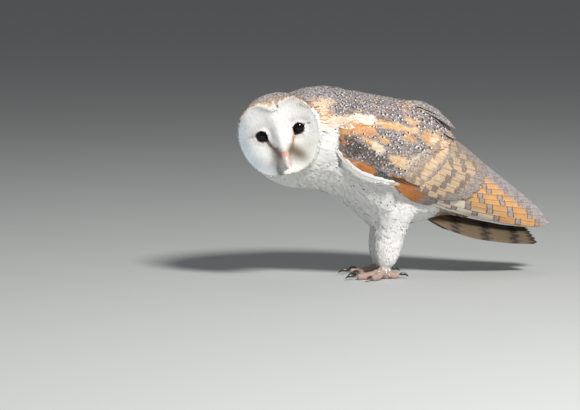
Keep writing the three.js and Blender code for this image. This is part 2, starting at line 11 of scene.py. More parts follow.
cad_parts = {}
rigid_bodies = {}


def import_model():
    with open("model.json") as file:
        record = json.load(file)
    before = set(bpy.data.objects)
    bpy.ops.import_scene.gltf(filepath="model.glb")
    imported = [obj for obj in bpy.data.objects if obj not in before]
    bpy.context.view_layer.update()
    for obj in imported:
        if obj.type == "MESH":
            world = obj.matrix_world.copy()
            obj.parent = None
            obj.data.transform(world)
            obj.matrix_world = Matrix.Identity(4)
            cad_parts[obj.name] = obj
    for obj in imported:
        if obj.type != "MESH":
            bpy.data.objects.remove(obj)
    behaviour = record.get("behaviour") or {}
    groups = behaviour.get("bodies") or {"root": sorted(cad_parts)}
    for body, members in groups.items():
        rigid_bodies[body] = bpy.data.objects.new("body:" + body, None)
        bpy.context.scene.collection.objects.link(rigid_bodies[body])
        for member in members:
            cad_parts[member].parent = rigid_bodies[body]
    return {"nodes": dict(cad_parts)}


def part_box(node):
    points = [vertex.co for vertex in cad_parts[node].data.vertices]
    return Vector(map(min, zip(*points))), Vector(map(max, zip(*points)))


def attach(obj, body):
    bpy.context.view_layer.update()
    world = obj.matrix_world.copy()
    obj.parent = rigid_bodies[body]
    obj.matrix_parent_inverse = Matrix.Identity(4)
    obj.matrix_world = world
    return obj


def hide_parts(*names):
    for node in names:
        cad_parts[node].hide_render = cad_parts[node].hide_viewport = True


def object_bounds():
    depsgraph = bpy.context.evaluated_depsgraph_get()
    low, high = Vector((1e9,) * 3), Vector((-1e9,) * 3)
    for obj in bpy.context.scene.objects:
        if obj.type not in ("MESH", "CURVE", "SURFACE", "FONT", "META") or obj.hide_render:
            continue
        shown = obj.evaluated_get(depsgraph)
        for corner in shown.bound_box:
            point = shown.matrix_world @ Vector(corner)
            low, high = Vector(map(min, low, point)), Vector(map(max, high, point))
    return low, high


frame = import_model()
cad_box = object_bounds()
mm = 0.001

# ---------------------------------------------------------------------------------------------------------
# The studio: a pale floor and backdrop, a long lens at a little above the bird's own height, a soft key
# light from the upper right and a wide, cool fill from the left.

CAMERA_AWAY, FOCAL_LENGTH = 3.0, 163.3
sight = np.array([-0.2574, -0.9606, 0.1045])  # from the bird towards the camera
rightward = np.array([0.9659, -0.2588, 0.0])
upward = np.array([0.02705, 0.1010, 0.9945])
aim = np.array([-0.1101, 0.0362, 0.0805])
LIGHTS = [  # name, way from the aim to the right, up and towards the camera, size, watts, colour
    ("key", (0.85, 1.5, 1.8), 0.5, 70, (1.0, 0.98, 0.95)),
    ("fill", (-1.6, 0.5, 1.4), 1.6, 3.4, (0.76, 0.88, 1.0)),
    ("top", (0.0, 1.8, -0.5), 1.2, 2.2, (1.0, 1.0, 1.0)),
]


def put(name, data):
    """A new object in the scene, at the origin."""
    made = bpy.data.objects.new(name, data)
    bpy.context.scene.collection.objects.link(made)
    return made


def set_up(holder, place, towards):
    """Puts a camera or a light in its place and points it."""
    holder.location = Vector(place)
    holder.rotation_euler = Vector(towards).to_track_quat("-Z", "Y").to_euler()
    return holder


lens = bpy.data.cameras.new("camera")
lens.sensor_width, lens.lens, lens.clip_end = 36, FOCAL_LENGTH, 20
bpy.context.scene.camera = set_up(put("camera", lens), aim + CAMERA_AWAY * sight, -sight)

for name, (right, up, near), size, watts, tone in LIGHTS:
    light = bpy.data.lights.new(name, "AREA")
    light.shape, light.size, light.energy, light.color = "DISK", size, watts, tone
    away = right * rightward + up * upward + near * sight
    set_up(put(name, light), aim + away, -away)

world = bpy.data.worlds.new("studio")
world.use_nodes = True
backdrop = world.node_tree.nodes["Background"].inputs
backdrop["Color"].default_value = (0.78, 0.81, 0.84, 1)
backdrop["Strength"].default_value = 0.17
bpy.context.scene.world = world
bpy.context.scene.view_settings.view_transform = "Standard"

bpy.ops.object.select_all(action="DESELECT")
bpy.ops.mesh.primitive_plane_add(size=70)
floor = bpy.context.object
floor.name = "floor"
paving = bpy.data.materials.new("pale_floor")
paving.use_nodes = True
paving_shader = paving.node_tree.nodes["Principled BSDF"].inputs
paving_shader["Base Color"].default_value = (0.52, 0.535, 0.53, 1)
paving_shader["Roughness"].default_value = 0.85
floor.data.materials.append(paving)

# ---------------------------------------------------------------------------------------------------------
# The bird's outer form. The soft parts are parted by thin cuts in the solids; here they are closed into one
# smooth surface on which skin and feathers are laid. It isn't shown itself.

SIDES = (("left", -1), ("right", 1))
FLESH = ["head", "neck", "trunk"]
FLESH += [f"{part}_{side}" for part in ("thigh", "shank", "foot", "scapulars") for side, _ in SIDES]
FLESH += [f"wing_{side}_coverts" for side, _ in SIDES]
SWELL = 0.6 * mm  # so that neighbours run into each other
VOXEL = 1.7 * mm
WING_TIP_STATION = 197  # stations run along the bird, in millimetres from the top of the legs
STATION_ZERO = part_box("wing_left_primaries")[1].x / mm - WING_TIP_STATION


def line(*stations):
    """A line through [place, value] stations."""
    at, value = zip(*stations)
    return lambda x: np.interp(x, at, value)


def values_of(items, name, width, kind=float):
    """One property of all of a mesh's corners, edges or faces, as an array with a row for each."""
    found = np.empty(len(items) * width, kind)
    items.foreach_get(name, found)
    return found.reshape(-1, width) if width > 1 else found


def bare_copy(node, swell):
    """The node's mesh with its corners merged, grown by a little."""
    work = bmesh.new()
    work.from_mesh(frame["nodes"][node].data)
    bmesh.ops.remove_doubles(work, verts=work.verts, dist=1e-5)
    work.normal_update()
    for v in work.verts:
        v.co += v.normal * swell
    mesh = bpy.data.meshes.new(node + "_copy")
    work.to_mesh(mesh)
    work.free()
    return put(mesh.name, mesh)


def pick(*pieces):
    bpy.ops.object.select_all(action="DESELECT")
    for piece in pieces:
        piece.select_set(True)
    bpy.context.view_layer.objects.active = pieces[0]


def join(pieces, name):
    pick(*pieces)
    bpy.ops.object.join()
    pieces[0].name = name
    return pieces[0]


def tree_of(mesh):
    return BVHTree.FromPolygons([v.co for v in mesh.vertices], [tuple(p.vertices) for p in mesh.polygons])


def smoothed(mesh, values, rounds):
    """Values at a mesh's corners, each evened out with its neighbours."""
    a, b = values_of(mesh.edges, "vertices", 2, int).T
    count = np.bincount(a, minlength=len(values)) + np.bincount(b, minlength=len(values))
    for _ in range(rounds):
        total = np.bincount(a, values[b], len(values)) + np.bincount(b, values[a], len(values))
        values = (values + total / count) / 2
    return values


# The free ends of the long shoulder feathers are pressed onto the back: they come with the coat.
BACK_MIDDLE = line((-60, 156), (20, 136), (60, 114), (100, 90))
BACK_HALF = line((-60, 63.3), (10, 63.3), (40, 55.8), (70, 47.3), (100, 38.8))
BACK_TOP = line((-60, 210.6), (0, 204.6), (20, 201.1), (42, 197.6), (48, 192.1), (57, 185.1), (66, 176.6),
                (76, 167.6), (81, 162.6))
copies = [bare_copy(node, SWELL) for node in FLESH]
for side, _ in SIDES:
    for v in copies[FLESH.index(f"scapulars_{side}")].data.vertices:
        x, y, z = v.co.x / mm - STATION_ZERO, v.co.y / mm, v.co.z / mm
        middle = BACK_MIDDLE(x)
        beyond = math.hypot(y / BACK_HALF(x), (z - middle) / (BACK_TOP(x) - middle))
        if x > 0 and beyond > 1 and 9 < abs(y) < 27 and z > middle:
            v.co.y /= beyond
            v.co.z = (middle + (z - middle) / beyond) * mm

form = join(copies, "form")
form.data.remesh_voxel_size = VOXEL
bpy.ops.object.voxel_remesh()
soften = form.modifiers.new("soften", "SMOOTH")
soften.factor, soften.iterations = 0.5, 5
bpy.ops.object.modifier_apply(modifier="soften")
swollen_normal = values_of(form.data.vertex_normals, "vector", 3)
outer = values_of(form.data.vertices, "co", 3) - swollen_normal * SWELL * 0.8

# Which part of the bird each place of the form belongs to.
NEAR = 3 * mm
reach = np.empty((len(FLESH), len(outer)))
for row, node in enumerate(FLESH):
    node_tree = tree_of(frame["nodes"][node].data)
    low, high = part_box(node)
    outside = np.maximum(np.array(low) - outer, outer - np.array(high)).max(1)
    reach[row] = np.where(outside > NEAR, 1.0, 0.0)
    for i in np.nonzero(outside <= NEAR)[0]:
        reach[row, i] = node_tree.find_nearest(Vector(outer[i]))[3]
part_of = reach.argmin(0)


def among(parts, *names):
    """Which of these parts belong to nodes with one of these names."""
    return np.isin(parts, [i for i, node in enumerate(FLESH) if any(n in node for n in names)])


def is_part(*names):
    return among(part_of, *names)


# Body, neck and shoulders run into each other without a crease.
blending = (
    is_part("neck", "scapulars")
    | (is_part("trunk") & (outer[:, 2] > 150 * mm))
    | (is_part("coverts") & (outer[:, 2] > 172 * mm))
)
blend_share = smoothed(form.data, blending.astype(float), 8)[:, None]
evened = np.stack([smoothed(form.data, column, 22) for column in outer.T], 1)
outer = outer + (evened - outer) * blend_share
form.data.vertices.foreach_set("co", outer.ravel())
form.data.update()
outer_normal = values_of(form.data.vertex_normals, "vector", 3)
form_tree = tree_of(form.data)


def closest(tree, points):
    """For each point its nearest place on the surface, the normal there and the face."""
    places, normals = np.empty_like(points), np.empty_like(points)
    faces = np.empty(len(points), int)
    for i, p in enumerate(points):
        places[i], normals[i], faces[i], _ = tree.find_nearest(Vector(p))
    return places, normals, faces


# ---------------------------------------------------------------------------------------------------------
# The head's own directions and the relief of its face. It looks over the bird's left side with its crown
# leaning to the front. The face is a shallow heart-shaped dish with a ridge down its middle.

HEAD_TURN, HEAD_NOD = math.radians(75), math.radians(4)
EYE_RADIUS = 8.2
EYE_DEPTH = 15.2  # of each eye's middle behind the plane of the face
EYE_APART = 20.75
DISC_RADIUS = 45.5
DISC_SIDE = -1.7
DISC_MIDDLE = -2.7
RIDGE_HEIGHT = line((-50, -1), (-44, -5), (-34, -4), (-24, 3.5), (-14, 4), (4, 0), (24, -2), (40, -1.5))
RIDGE_HALF_WIDTH = line((-44, 14), (-24, 9.6), (-10, 10.8), (6, 13), (24, 13), (40, 10))


def unit(v):
    return v / np.maximum(np.linalg.norm(v, axis=-1, keepdims=True), 1e-12)


def middle_of(node):
    low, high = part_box(node)
    return np.array(low + high) / 2


head_front = np.array([
    -math.cos(HEAD_TURN) * math.cos(HEAD_NOD),
    -math.sin(HEAD_TURN) * math.cos(HEAD_NOD),
    -math.sin(HEAD_NOD),
])
head_side = unit(middle_of("eye_left") - middle_of("eye_right"))
head_side = unit(head_side - head_front * (head_side @ head_front))
head_up = np.cross(head_front, head_side)
face_middle = (middle_of("eye_left") + middle_of("eye_right")) / 2 + head_front * EYE_DEPTH * mm


def head_place(side, up, front):
    """A place given in millimetres along the head's own directions."""
    across, crown, ahead = (np.asarray(a, float)[..., None] * mm for a in (side, up, front))
    return face_middle + across * head_side + crown * head_up + ahead * head_front


def in_head(points):
    """Places as millimetres along the head's side, up and front directions."""
    off = (points - face_middle) / mm
    return off @ head_side, off @ head_up, off @ head_front


def bell(x, width):
    return np.exp(-((x / width) ** 2))


def from_top_of_face(angle):
    """Degrees from the top of the face, for an angle round it that starts at the bird's left."""
    return np.abs((np.degrees(angle) + 90) % 360 - 180)


def rim_radius(angle):
    """The heart-shaped rim of the face: a notch on top, full cheeks and a slight point below."""
    top = from_top_of_face(angle)
    return (
        DISC_RADIUS
        - 17.5 * bell(top, 23)
        + 1.2 * bell(top - 38, 20)
        + 1.3 * bell(top - 66, 24)
        - 2 * bell(180 - top, 12)
        + 1.3 * bell(180 - top - 36, 22)
    )


def face_share(side, up):
    """The share of the way from the face's middle to its rim."""
    across, above = side - DISC_SIDE, up - DISC_MIDDLE
    return np.hypot(across, above) / rim_radius(np.arctan2(above, across))


def face_relief(side, up):
    """How far the face stands in front of its plane, in millimetres."""
    rho = np.minimum(face_share(side, up), 1)
    aside = (side - DISC_SIDE) / DISC_RADIUS
    above = np.maximum(0, up - DISC_MIDDLE) / DISC_RADIUS
    hollow = -9 * (1 - rho**3)
    ridge = bell(side, RIDGE_HALF_WIDTH(up)) * (1 - rho**8)
    return -5 * aside**2 - 5 * above**2 + hollow + (RIDGE_HEIGHT(up) - hollow) * ridge


# ---------------------------------------------------------------------------------------------------------
# The plumage's markings: white below and on the face, gold on neck and wing, lilac-grey with dark and white
# droplets along the back. Every place of skin and coat takes its colour here, so both carry the same ones.


def colour(red, green, blue):
    """A paint as linear light, from its values on a screen."""
    shares = np.array([red, green, blue]) / 255
    return np.where(shares <= 0.04045, shares / 12.92, ((shares + 0.055) / 1.055) ** 2.4)


WHITE = colour(240, 239, 236)
CREAM = colour(240, 224, 200)
BUFF = colour(230, 194, 150)
GOLD = colour(220, 168, 110)
ORANGE = colour(200, 130, 70)
LILAC = colour(168, 163, 166)
GREY = colour(148, 142, 143)
SLATE = colour(84, 76, 74)
STREAK = colour(120, 70, 38)

# Outlines on the side view: the folded wing's lower and upper edge, the back and the rump.
WING_LOWER = line((-73, 148), (-69, 138.5), (-65, 132.5), (-57, 124.5), (-46, 117.5), (-36, 113.8),
                  (-25, 111), (-7, 109.5), (0, 101), (17, 90), (40, 83.3), (68, 75.2), (93, 67.5),
                  (119, 59.4), (145, 54.3), (181, 51.8), (197, 52.6))
WING_UPPER = line((-73, 166), (-70, 177), (-62, 186), (-47, 191), (-20, 186), (10, 178), (40, 169), (62, 161),
                  (74, 156), (84, 152.5), (95, 145), (126, 119), (156, 96.5), (185, 72), (197, 56))
BACK_LINE = line((-160, 168), (-150, 187), (-134, 201), (-118, 209), (-100, 216), (-70, 219), (-33, 212),
                 (0, 204), (20, 195), (40, 182), (60, 167), (84, 151), (104, 137))
RUMP_LINE = line((40, 86), (75, 66), (110, 58))

# Fields of shoulder and folded wing: two ends of each on the side view, half width, colour, strength, spots,
# pepper.
WING_FIELDS = [
    (((-40, 170), (46, 147)), 12, GREY, 0.95, 0.9, 1.0),
    (((-58, 150), (-12, 136)), 13, GREY, 0.95, 0.9, 1.0),
    (((-34, 130), (14, 120)), 5, GREY, 0.7, 0.8, 0.8),
    (((-63, 163), (-54, 149)), 9, SLATE, 0.95, 0.6, 0.7),
    (((-48, 149), (-18, 136)), 6, SLATE, 0.7, 0.9, 0.8),
    (((-66, 174), (-36, 173)), 8, colour(216, 158, 100), 0.95, 0.2, 0.2),
    (((-70, 170), (-66, 160)), 3.5, ORANGE, 0.8, 0.3, 0.1),
    (((-67, 146), (-56, 135)), 2.2, ORANGE, 0.9, 0.1, 0.1),
    (((-54, 134), (-36, 127)), 3.6, ORANGE, 0.95, 0.1, 0.1),
    (((-64, 184.5), (-36, 184)), 4.6, colour(242, 234, 224), 0.95, 0.3, 0.1),
    (((-27, 183), (22, 172)), 4, BUFF, 0.95, 0.1, 0.15),
    (((-20, 178), (10, 172)), 2, GOLD, 0.8, 0.1, 0.1),
    (((-30, 190), (-12, 182)), 1.5, STREAK, 0.95, 0.0, 0.0),
    (((-22, 191), (-8, 184)), 1.2, STREAK, 0.9, 0.0, 0.0),
    (((30, 164), (72, 147)), 6, GOLD, 0.9, 0.25, 0.2),
    (((40, 160), (66, 149)), 2.4, CREAM, 0.8, 0.1, 0.1),
    (((-40, 160), (-34, 154)), 4, GOLD, 0.95, 0.2, 0.1),
    (((-33, 155), (-26, 150)), 4, CREAM, 0.95, 0.2, 0.1),
    (((-22, 162), (-16, 160)), 4, GOLD, 0.9, 0.3, 0.2),
    (((6, 163), (14, 160)), 3.6, GOLD, 0.85, 0.3, 0.2),
    (((-11, 140), (1, 135)), 6, BUFF, 0.95, 0.15, 0.1),
    (((14, 133), (76, 148)), 9, CREAM, 0.6, 0.25, 0.7),
    (((74, 143), (84, 137)), 4, WHITE, 0.7, 0.1, 0.3),
]

FACE_MARKS_AND_SHADE = [  # two ends beside and above the middle of the eyes, half width, colour and strength
    # Painted shade: a grey patch over each eye, where the hollow above it lies in shade.
    (((17, 10), (30, 7)), 3.8, colour(160, 160, 166), 0.5),
    (((-20, 9.5), (-31, 5)), 3.8, colour(170, 170, 174), 0.5),
    (((15, -1.5), (11.6, -12)), 1.5, colour(196, 124, 74), 1.0),
    (((11.6, -12), (8.8, -19)), 1.7, colour(172, 110, 72), 1.0),
    (((9.2, -18.5), (6.5, -21.5)), 2.8, colour(110, 78, 58), 1.0),
    (((6.5, -20.5), (3.8, -24)), 1.5, colour(170, 104, 74), 0.9),
    # Beside the bill on the left: tan patches, a faint buff stain deepened with painted shade of the hollows;
    # the third, darker one is painted shade only.
    (((10.5, -24), (19, -31)), 7, colour(134, 122, 102), 0.8),
    (((16, -29), (30, -20)), 6, colour(206, 200, 188), 0.5),
    (((11, -22), (15, -28)), 5.5, colour(104, 90, 70), 0.8),
    # The right eye's streak to the bill; its first piece, at the eye's inner corner, is darkened with painted
    # shade.
    (((-15.6, -3.5), (-13.6, -11.5)), 1.5, colour(70, 50, 44), 0.95),
    (((-13.6, -11.5), (-8.6, -18)), 2.4, colour(116, 84, 70), 1.0),
    (((-8.6, -18), (-5, -23)), 2.8, colour(128, 88, 70), 1.0),
    # Below it a tan patch: a faint buff stain deepened with painted shade.
    (((-9, -25), (-15, -34)), 6.5, colour(140, 128, 116), 0.8),
    (((-27.8, 3.0), (-35, 1.6)), 1.3, colour(180, 160, 142), 0.7),
    (((27.5, 4.0), (34, 2.8)), 0.9, colour(110, 80, 66), 0.85),
    # Painted blue-grey shade round the right and lower rim of the face.
    (((-41, 22), (-45, -6)), 11, colour(164, 174, 182), 0.85),
    (((-45, -6), (-36, -28)), 11, colour(158, 169, 178), 0.85),
    (((-34, -29), (-17, -42)), 8.5, colour(160, 168, 174), 0.8),
    (((26, 27), (36, 20)), 0.9, colour(120, 92, 74), 0.7),
]


def station_of(points):
    """How far along the bird a place is, and its height, in millimetres."""
    return points[:, 0] / mm - STATION_ZERO, points[:, 2] / mm


def ramp(value, start, end):
    t = np.clip((value - start) / (end - start), 0, 1)
    return t * t * (3 - 2 * t)


def laid(under, over, share):
    """One colour or value laid on another, over this share of it."""
    return under + (over - under) * share


def ripple(points, size, seed):
    """A smooth irregular number from -1 to 1 for each place, with waves of about this size."""
    rng = np.random.default_rng(seed)
    total = np.zeros(len(points))
    for _ in range(6):
        way = unit(rng.normal(size=3))
        total += np.sin(points @ way / size * rng.uniform(3, 9) + rng.uniform(0, 6.3))
    return total / 3.4


def strip_distance(x, z, ends):
    """The distance from a straight line between two places."""
    (ax, az), (bx, bz) = ends
    t = np.clip(((x - ax) * (bx - ax) + (z - az) * (bz - az)) / ((bx - ax) ** 2 + (bz - az) ** 2), 0, 1)
    return np.hypot(x - ax - t * (bx - ax), z - az - t * (bz - az))


def strip(x, z, ends, width):
    """1 near a straight line between two places on the side view, falling to 0 at its width."""
    return ramp(strip_distance(x, z, ends), width * 1.4, width * 0.6)


def face_tint(side, up):
    tint = np.tile(WHITE, (len(side), 1))
    for ends, width, paint, strength in FACE_MARKS_AND_SHADE:
        near = bell(strip_distance(side, up, ends) / width, 1.0)
        tint = laid(tint, paint, (near * strength)[:, None])
    return tint


def markings(points, parts):
    """The colour, strength of droplet spots and of grey pepper at places of the form."""
    x, z = station_of(points)
    wavy = points * [0.5, 1, 1]
    x = x + 3.5 * ripple(wavy, 30 * mm, 1) + 1.6 * ripple(wavy, 9 * mm, 2)
    z = z + 3.0 * ripple(wavy, 28 * mm, 3) + 1.4 * ripple(wavy, 8 * mm, 4)
    off_middle = np.abs(points[:, 1]) / mm
    tint = np.tile(WHITE, (len(points), 1))
    spots, pepper = np.zeros(len(points)), np.zeros(len(points))

    def lay(share, paint, spotted=None, peppered=None):
        nonlocal tint, spots, pepper
        tint = laid(tint, paint, share[:, None])
        if spotted is not None:
            spots, pepper = laid(spots, spotted, share), laid(pepper, peppered, share)

    # Neck and back: white below, through orange-buff to lilac-grey along the back line.
    body = among(parts, "neck", "trunk")
    top = BACK_LINE(x)
    far = ramp(points[:, 1] / mm, -5, 30)
    lay(body * ramp(z, 168 - 14 * far, 192 - 10 * far), colour(240, 216, 188), 0.5, 0.1)
    lay(body * ramp(z, 172, 190) * ramp(ripple(wavy, 6 * mm, 5), 0.0, 0.7) * 0.65, GOLD, 0.5, 0.2)
    lay(body * ramp(z, top - 17, top - 7), LILAC, 0.6, 1.0)
    lay(body * ramp(x, -78, -66) * ramp(z, 186, 194), GREY, 1.0, 1.0)
    rump = body * ramp(x, 40, 50) * ramp(z - RUMP_LINE(x), -5, 0)
    lay(rump * ramp(off_middle, 40, 20), colour(186, 160, 128), 0.1, 0.8)
    # Small dark specks on the white flanks.
    flank = body * ramp(z, 132, 122) * ramp(z, 66, 78) * ramp(x, -70, -50) * ramp(x, 40, 20)
    spots = np.where(body & (z < 150), flank * 0.11, spots)

    # Shoulder feathers: grey with rows of droplets, golden along their lower edge and in a few streaks.
    shoulder = among(parts, "scapulars")
    lay(shoulder * 1.0, GREY, 1.0, 1.0)
    lay(shoulder * strip(x, z, ((12, 185), (24, 180)), 3.0) * 0.85, BUFF, 0.4, 0.2)
    lay(shoulder * strip(x, z, ((10, 197), (34, 193)), 1.8) * 0.7, GOLD, 0.6, 0.4)
    lay(shoulder * strip(x, z, ((36, 168), (58, 158)), 3.5) * 0.6, BUFF, 0.6, 0.5)
    lay(shoulder * ramp(ripple(wavy, 7 * mm, 8), 0.4, 1.0) * 0.5, GOLD, 0.8, 0.5)

    # The folded wing's coverts, with the fields that run on over the shoulder, and a white lower edge.
    wing = among(parts, "coverts")
    lay(wing * 1.0, colour(196, 172, 148), 0.6, 0.8)
    lay(wing * ramp(ripple(wavy, 7 * mm, 9), 0.4, 1.0) * ramp(x, -50, -30) * 0.5, GOLD, 0.6, 0.4)
    for ends, width, paint, strength, spotted, peppered in WING_FIELDS:
        lay((wing | shoulder) * strip(x, z, ends, width) * strength, paint, spotted, peppered)
    warm = (wing | shoulder) * ramp(pepper, 0.5, 0.3)
    lay(warm * ramp(ripple(wavy, 3.2 * mm, 21), 0.1, 0.9) * 0.5, CREAM)
    lay(warm * ramp(ripple(wavy, 3.2 * mm, 22), 0.2, 1.0) * 0.5, ORANGE)
    lay(wing * ramp(z - WING_LOWER(x), 8.5, 6) * ramp(x, 0, -12), WHITE, 0.0, 0.0)

    # Crown and nape: lilac-grey, orange-buff where they meet the face, with a white streak in the notch.
    side, up, front = in_head(points)
    behind = face_relief(side, up) - front
    head = among(parts, "head") & ((face_share(side, up) > 0.97) | (behind > 12))
    round_top = np.degrees(np.arctan2(up - DISC_MIDDLE, side - DISC_SIDE))
    crown = head * ramp(np.abs(round_top - 90), 104, 84) * ramp(behind, 4, 8)
    lay(crown, colour(220, 178, 134), 0.05, 0.4)
    lay(crown * ramp(ripple(points, 5 * mm, 12), 0.0, 0.8) * ramp(behind, 20, 8) * 0.7, ORANGE, 0.05, 0.3)
    lay(crown * ramp(behind, 7, 15) * ramp(up, 10, 24) * 0.9, colour(164, 158, 158), 0.35, 1.0)
    lay(crown * bell(side, 2.2) * ramp(behind, 16, 9) * 0.8, WHITE, 0.0, 0.0)
    lay(head * ramp(behind, 30, 46) * ramp(up, -26, -10), LILAC * 0.6 + BUFF * 0.4, 0.5, 0.7)
    return tint, np.clip(spots, 0, 1), np.clip(pepper, 0, 1)


# ---------------------------------------------------------------------------------------------------------
# Skin: one closed hide under all feathers, from the face to the toes. It lies inside the outer form by the
# depth of the coat there. Pink lids ring the eyes, and the bare toes are grey-pink and scaly.

# How deep the skin lies under the coat's tips, in millimetres.
DEPTHS = {"head": 2.6, "neck": 3.4, "trunk": 3.2, "thigh": 2.6, "shank": 1.8, "foot": 0.0, "scapulars": 2.6,
          "coverts": 1.6}
FACE_DEPTH = 0.8
FACE_EDGE = 1.02  # the bare face ends a little outside the rim
LID_RADIUS, LID_THICKNESS = 6.95, 1.4
LID_AHEAD = 4.6  # of the middle of the eye
TOES = colour(176, 150, 138)
SOCKET = colour(40, 28, 26)
LID_DARK, LID_PINK, LID_RIM = colour(58, 42, 40), colour(164, 108, 96), colour(26, 20, 21)

face_side, face_up, face_front = in_head(outer)
on_face = is_part("head") & (face_share(face_side, face_up) < FACE_EDGE) & (face_front > -24)
coat_depth = np.zeros(len(outer))
for part, depth in DEPTHS.items():
    coat_depth[is_part(part)] = depth
coat_depth[on_face] = FACE_DEPTH
coat_depth = smoothed(form.data, coat_depth, 6)
coat_depth[is_part("foot")] *= 0.2

skin = put("skin", form.data.copy())
skin.data.vertices.foreach_set("co", (outer - outer_normal * coat_depth[:, None] * mm).ravel())
skin.data.update()
pick(skin)
bpy.ops.object.mode_set(mode="EDIT")
bpy.ops.mesh.select_all(action="SELECT")
bpy.ops.uv.smart_project(angle_limit=1.15, island_margin=0.002, scale_to_bounds=False)
bpy.ops.object.mode_set(mode="OBJECT")
skin.data.uv_layers[0].name = "OFBake"
skin_tree = tree_of(skin.data)
corner_uv = values_of(skin.data.uv_layers["OFBake"].uv, "vector", 2)
first_corner = values_of(skin.data.polygons, "loop_start", 1, int)
face_uv = np.add.reduceat(corner_uv, first_corner) / np.diff(np.append(first_corner, len(corner_uv)))[:, None]


def paint_mesh(mesh, tint, marks):
    """Writes the colour and the markings of each corner onto a mesh."""
    for name, values in (("tint", tint), ("marks", marks)):
        full = np.ones((len(values), 4), np.float32)
        full[:, : values.shape[1]] = values
        mesh.attributes.new(name, "FLOAT_COLOR", "POINT").data.foreach_set("color", full.ravel())


skin_tint, _, skin_pepper = markings(outer, part_of)
skin_tint[is_part("foot")] = TOES
socket = ramp(np.hypot(np.abs(face_side) - EYE_APART, face_up), 10.0, 8.6)[:, None]
bare_face = laid(face_tint(face_side, face_up), SOCKET, socket)
skin_tint = np.where(on_face[:, None], bare_face, skin_tint)
paint_mesh(skin.data, skin_tint, np.stack([0 * skin_pepper, skin_pepper, 0 * skin_pepper], 1))
skin.data.shade_smooth()


def eye_outline(around, way):
    """How far the opening of an eye reaches beyond a circle: its inner corner points down to the bill."""
    inner_corner = math.radians(222 if way < 0 else -42)
    outer_corner = math.radians(22 if way < 0 else 158)

    def towards(corner, width):
        return np.exp(-(np.arctan2(np.sin(around - corner), np.cos(around - corner)) / width) ** 2)

    return (1 + 0.24 * towards(inner_corner, 0.36) + 0.10 * towards(outer_corner, 0.3)
            - 0.05 * towards(math.pi / 2, 0.9))


def set_in_head(piece, middle):
    """Turns a piece made at the origin to look the way the head does, and puts it in its place."""
    turn = Matrix([head_side, head_up, head_front]).transposed()
    piece.data.transform(Matrix.Translation(Vector(middle)) @ turn.to_4x4())
    piece.data.shade_smooth()


lids = []
for side, way in SIDES:
    bpy.ops.object.select_all(action="DESELECT")
    bpy.ops.mesh.primitive_torus_add(major_segments=48, minor_segments=16, major_radius=LID_RADIUS * mm,
                                     minor_radius=LID_THICKNESS * mm)
    lid = bpy.context.object
    rings = np.array([v.co for v in lid.data.vertices]) / mm
    around, radius = np.arctan2(rings[:, 1], rings[:, 0]), np.hypot(rings[:, 0], rings[:, 1])
    pulled = 1 + (eye_outline(around, way) - 1) * ramp(radius, 8.0, 5.6)
    lid.data.vertices.foreach_set("co", (rings * pulled[:, None] * [1, 1, 0.95] * mm).ravel())
    set_in_head(lid, middle_of(f"eye_{side}") + head_front * LID_AHEAD * mm)
    lid.data.uv_layers[0].name = "OFBake"
    lid_tint = laid(LID_DARK, LID_PINK, ramp(np.sin(around), 0.4, -0.2)[:, None] * 0.8)
    lid_tint = laid(lid_tint, LID_RIM, ramp(radius, 6.1, 5.8)[:, None])
    paint_mesh(lid.data, lid_tint, np.zeros((len(rings), 3)))
    lids.append(lid)
join([skin] + lids, "skin")


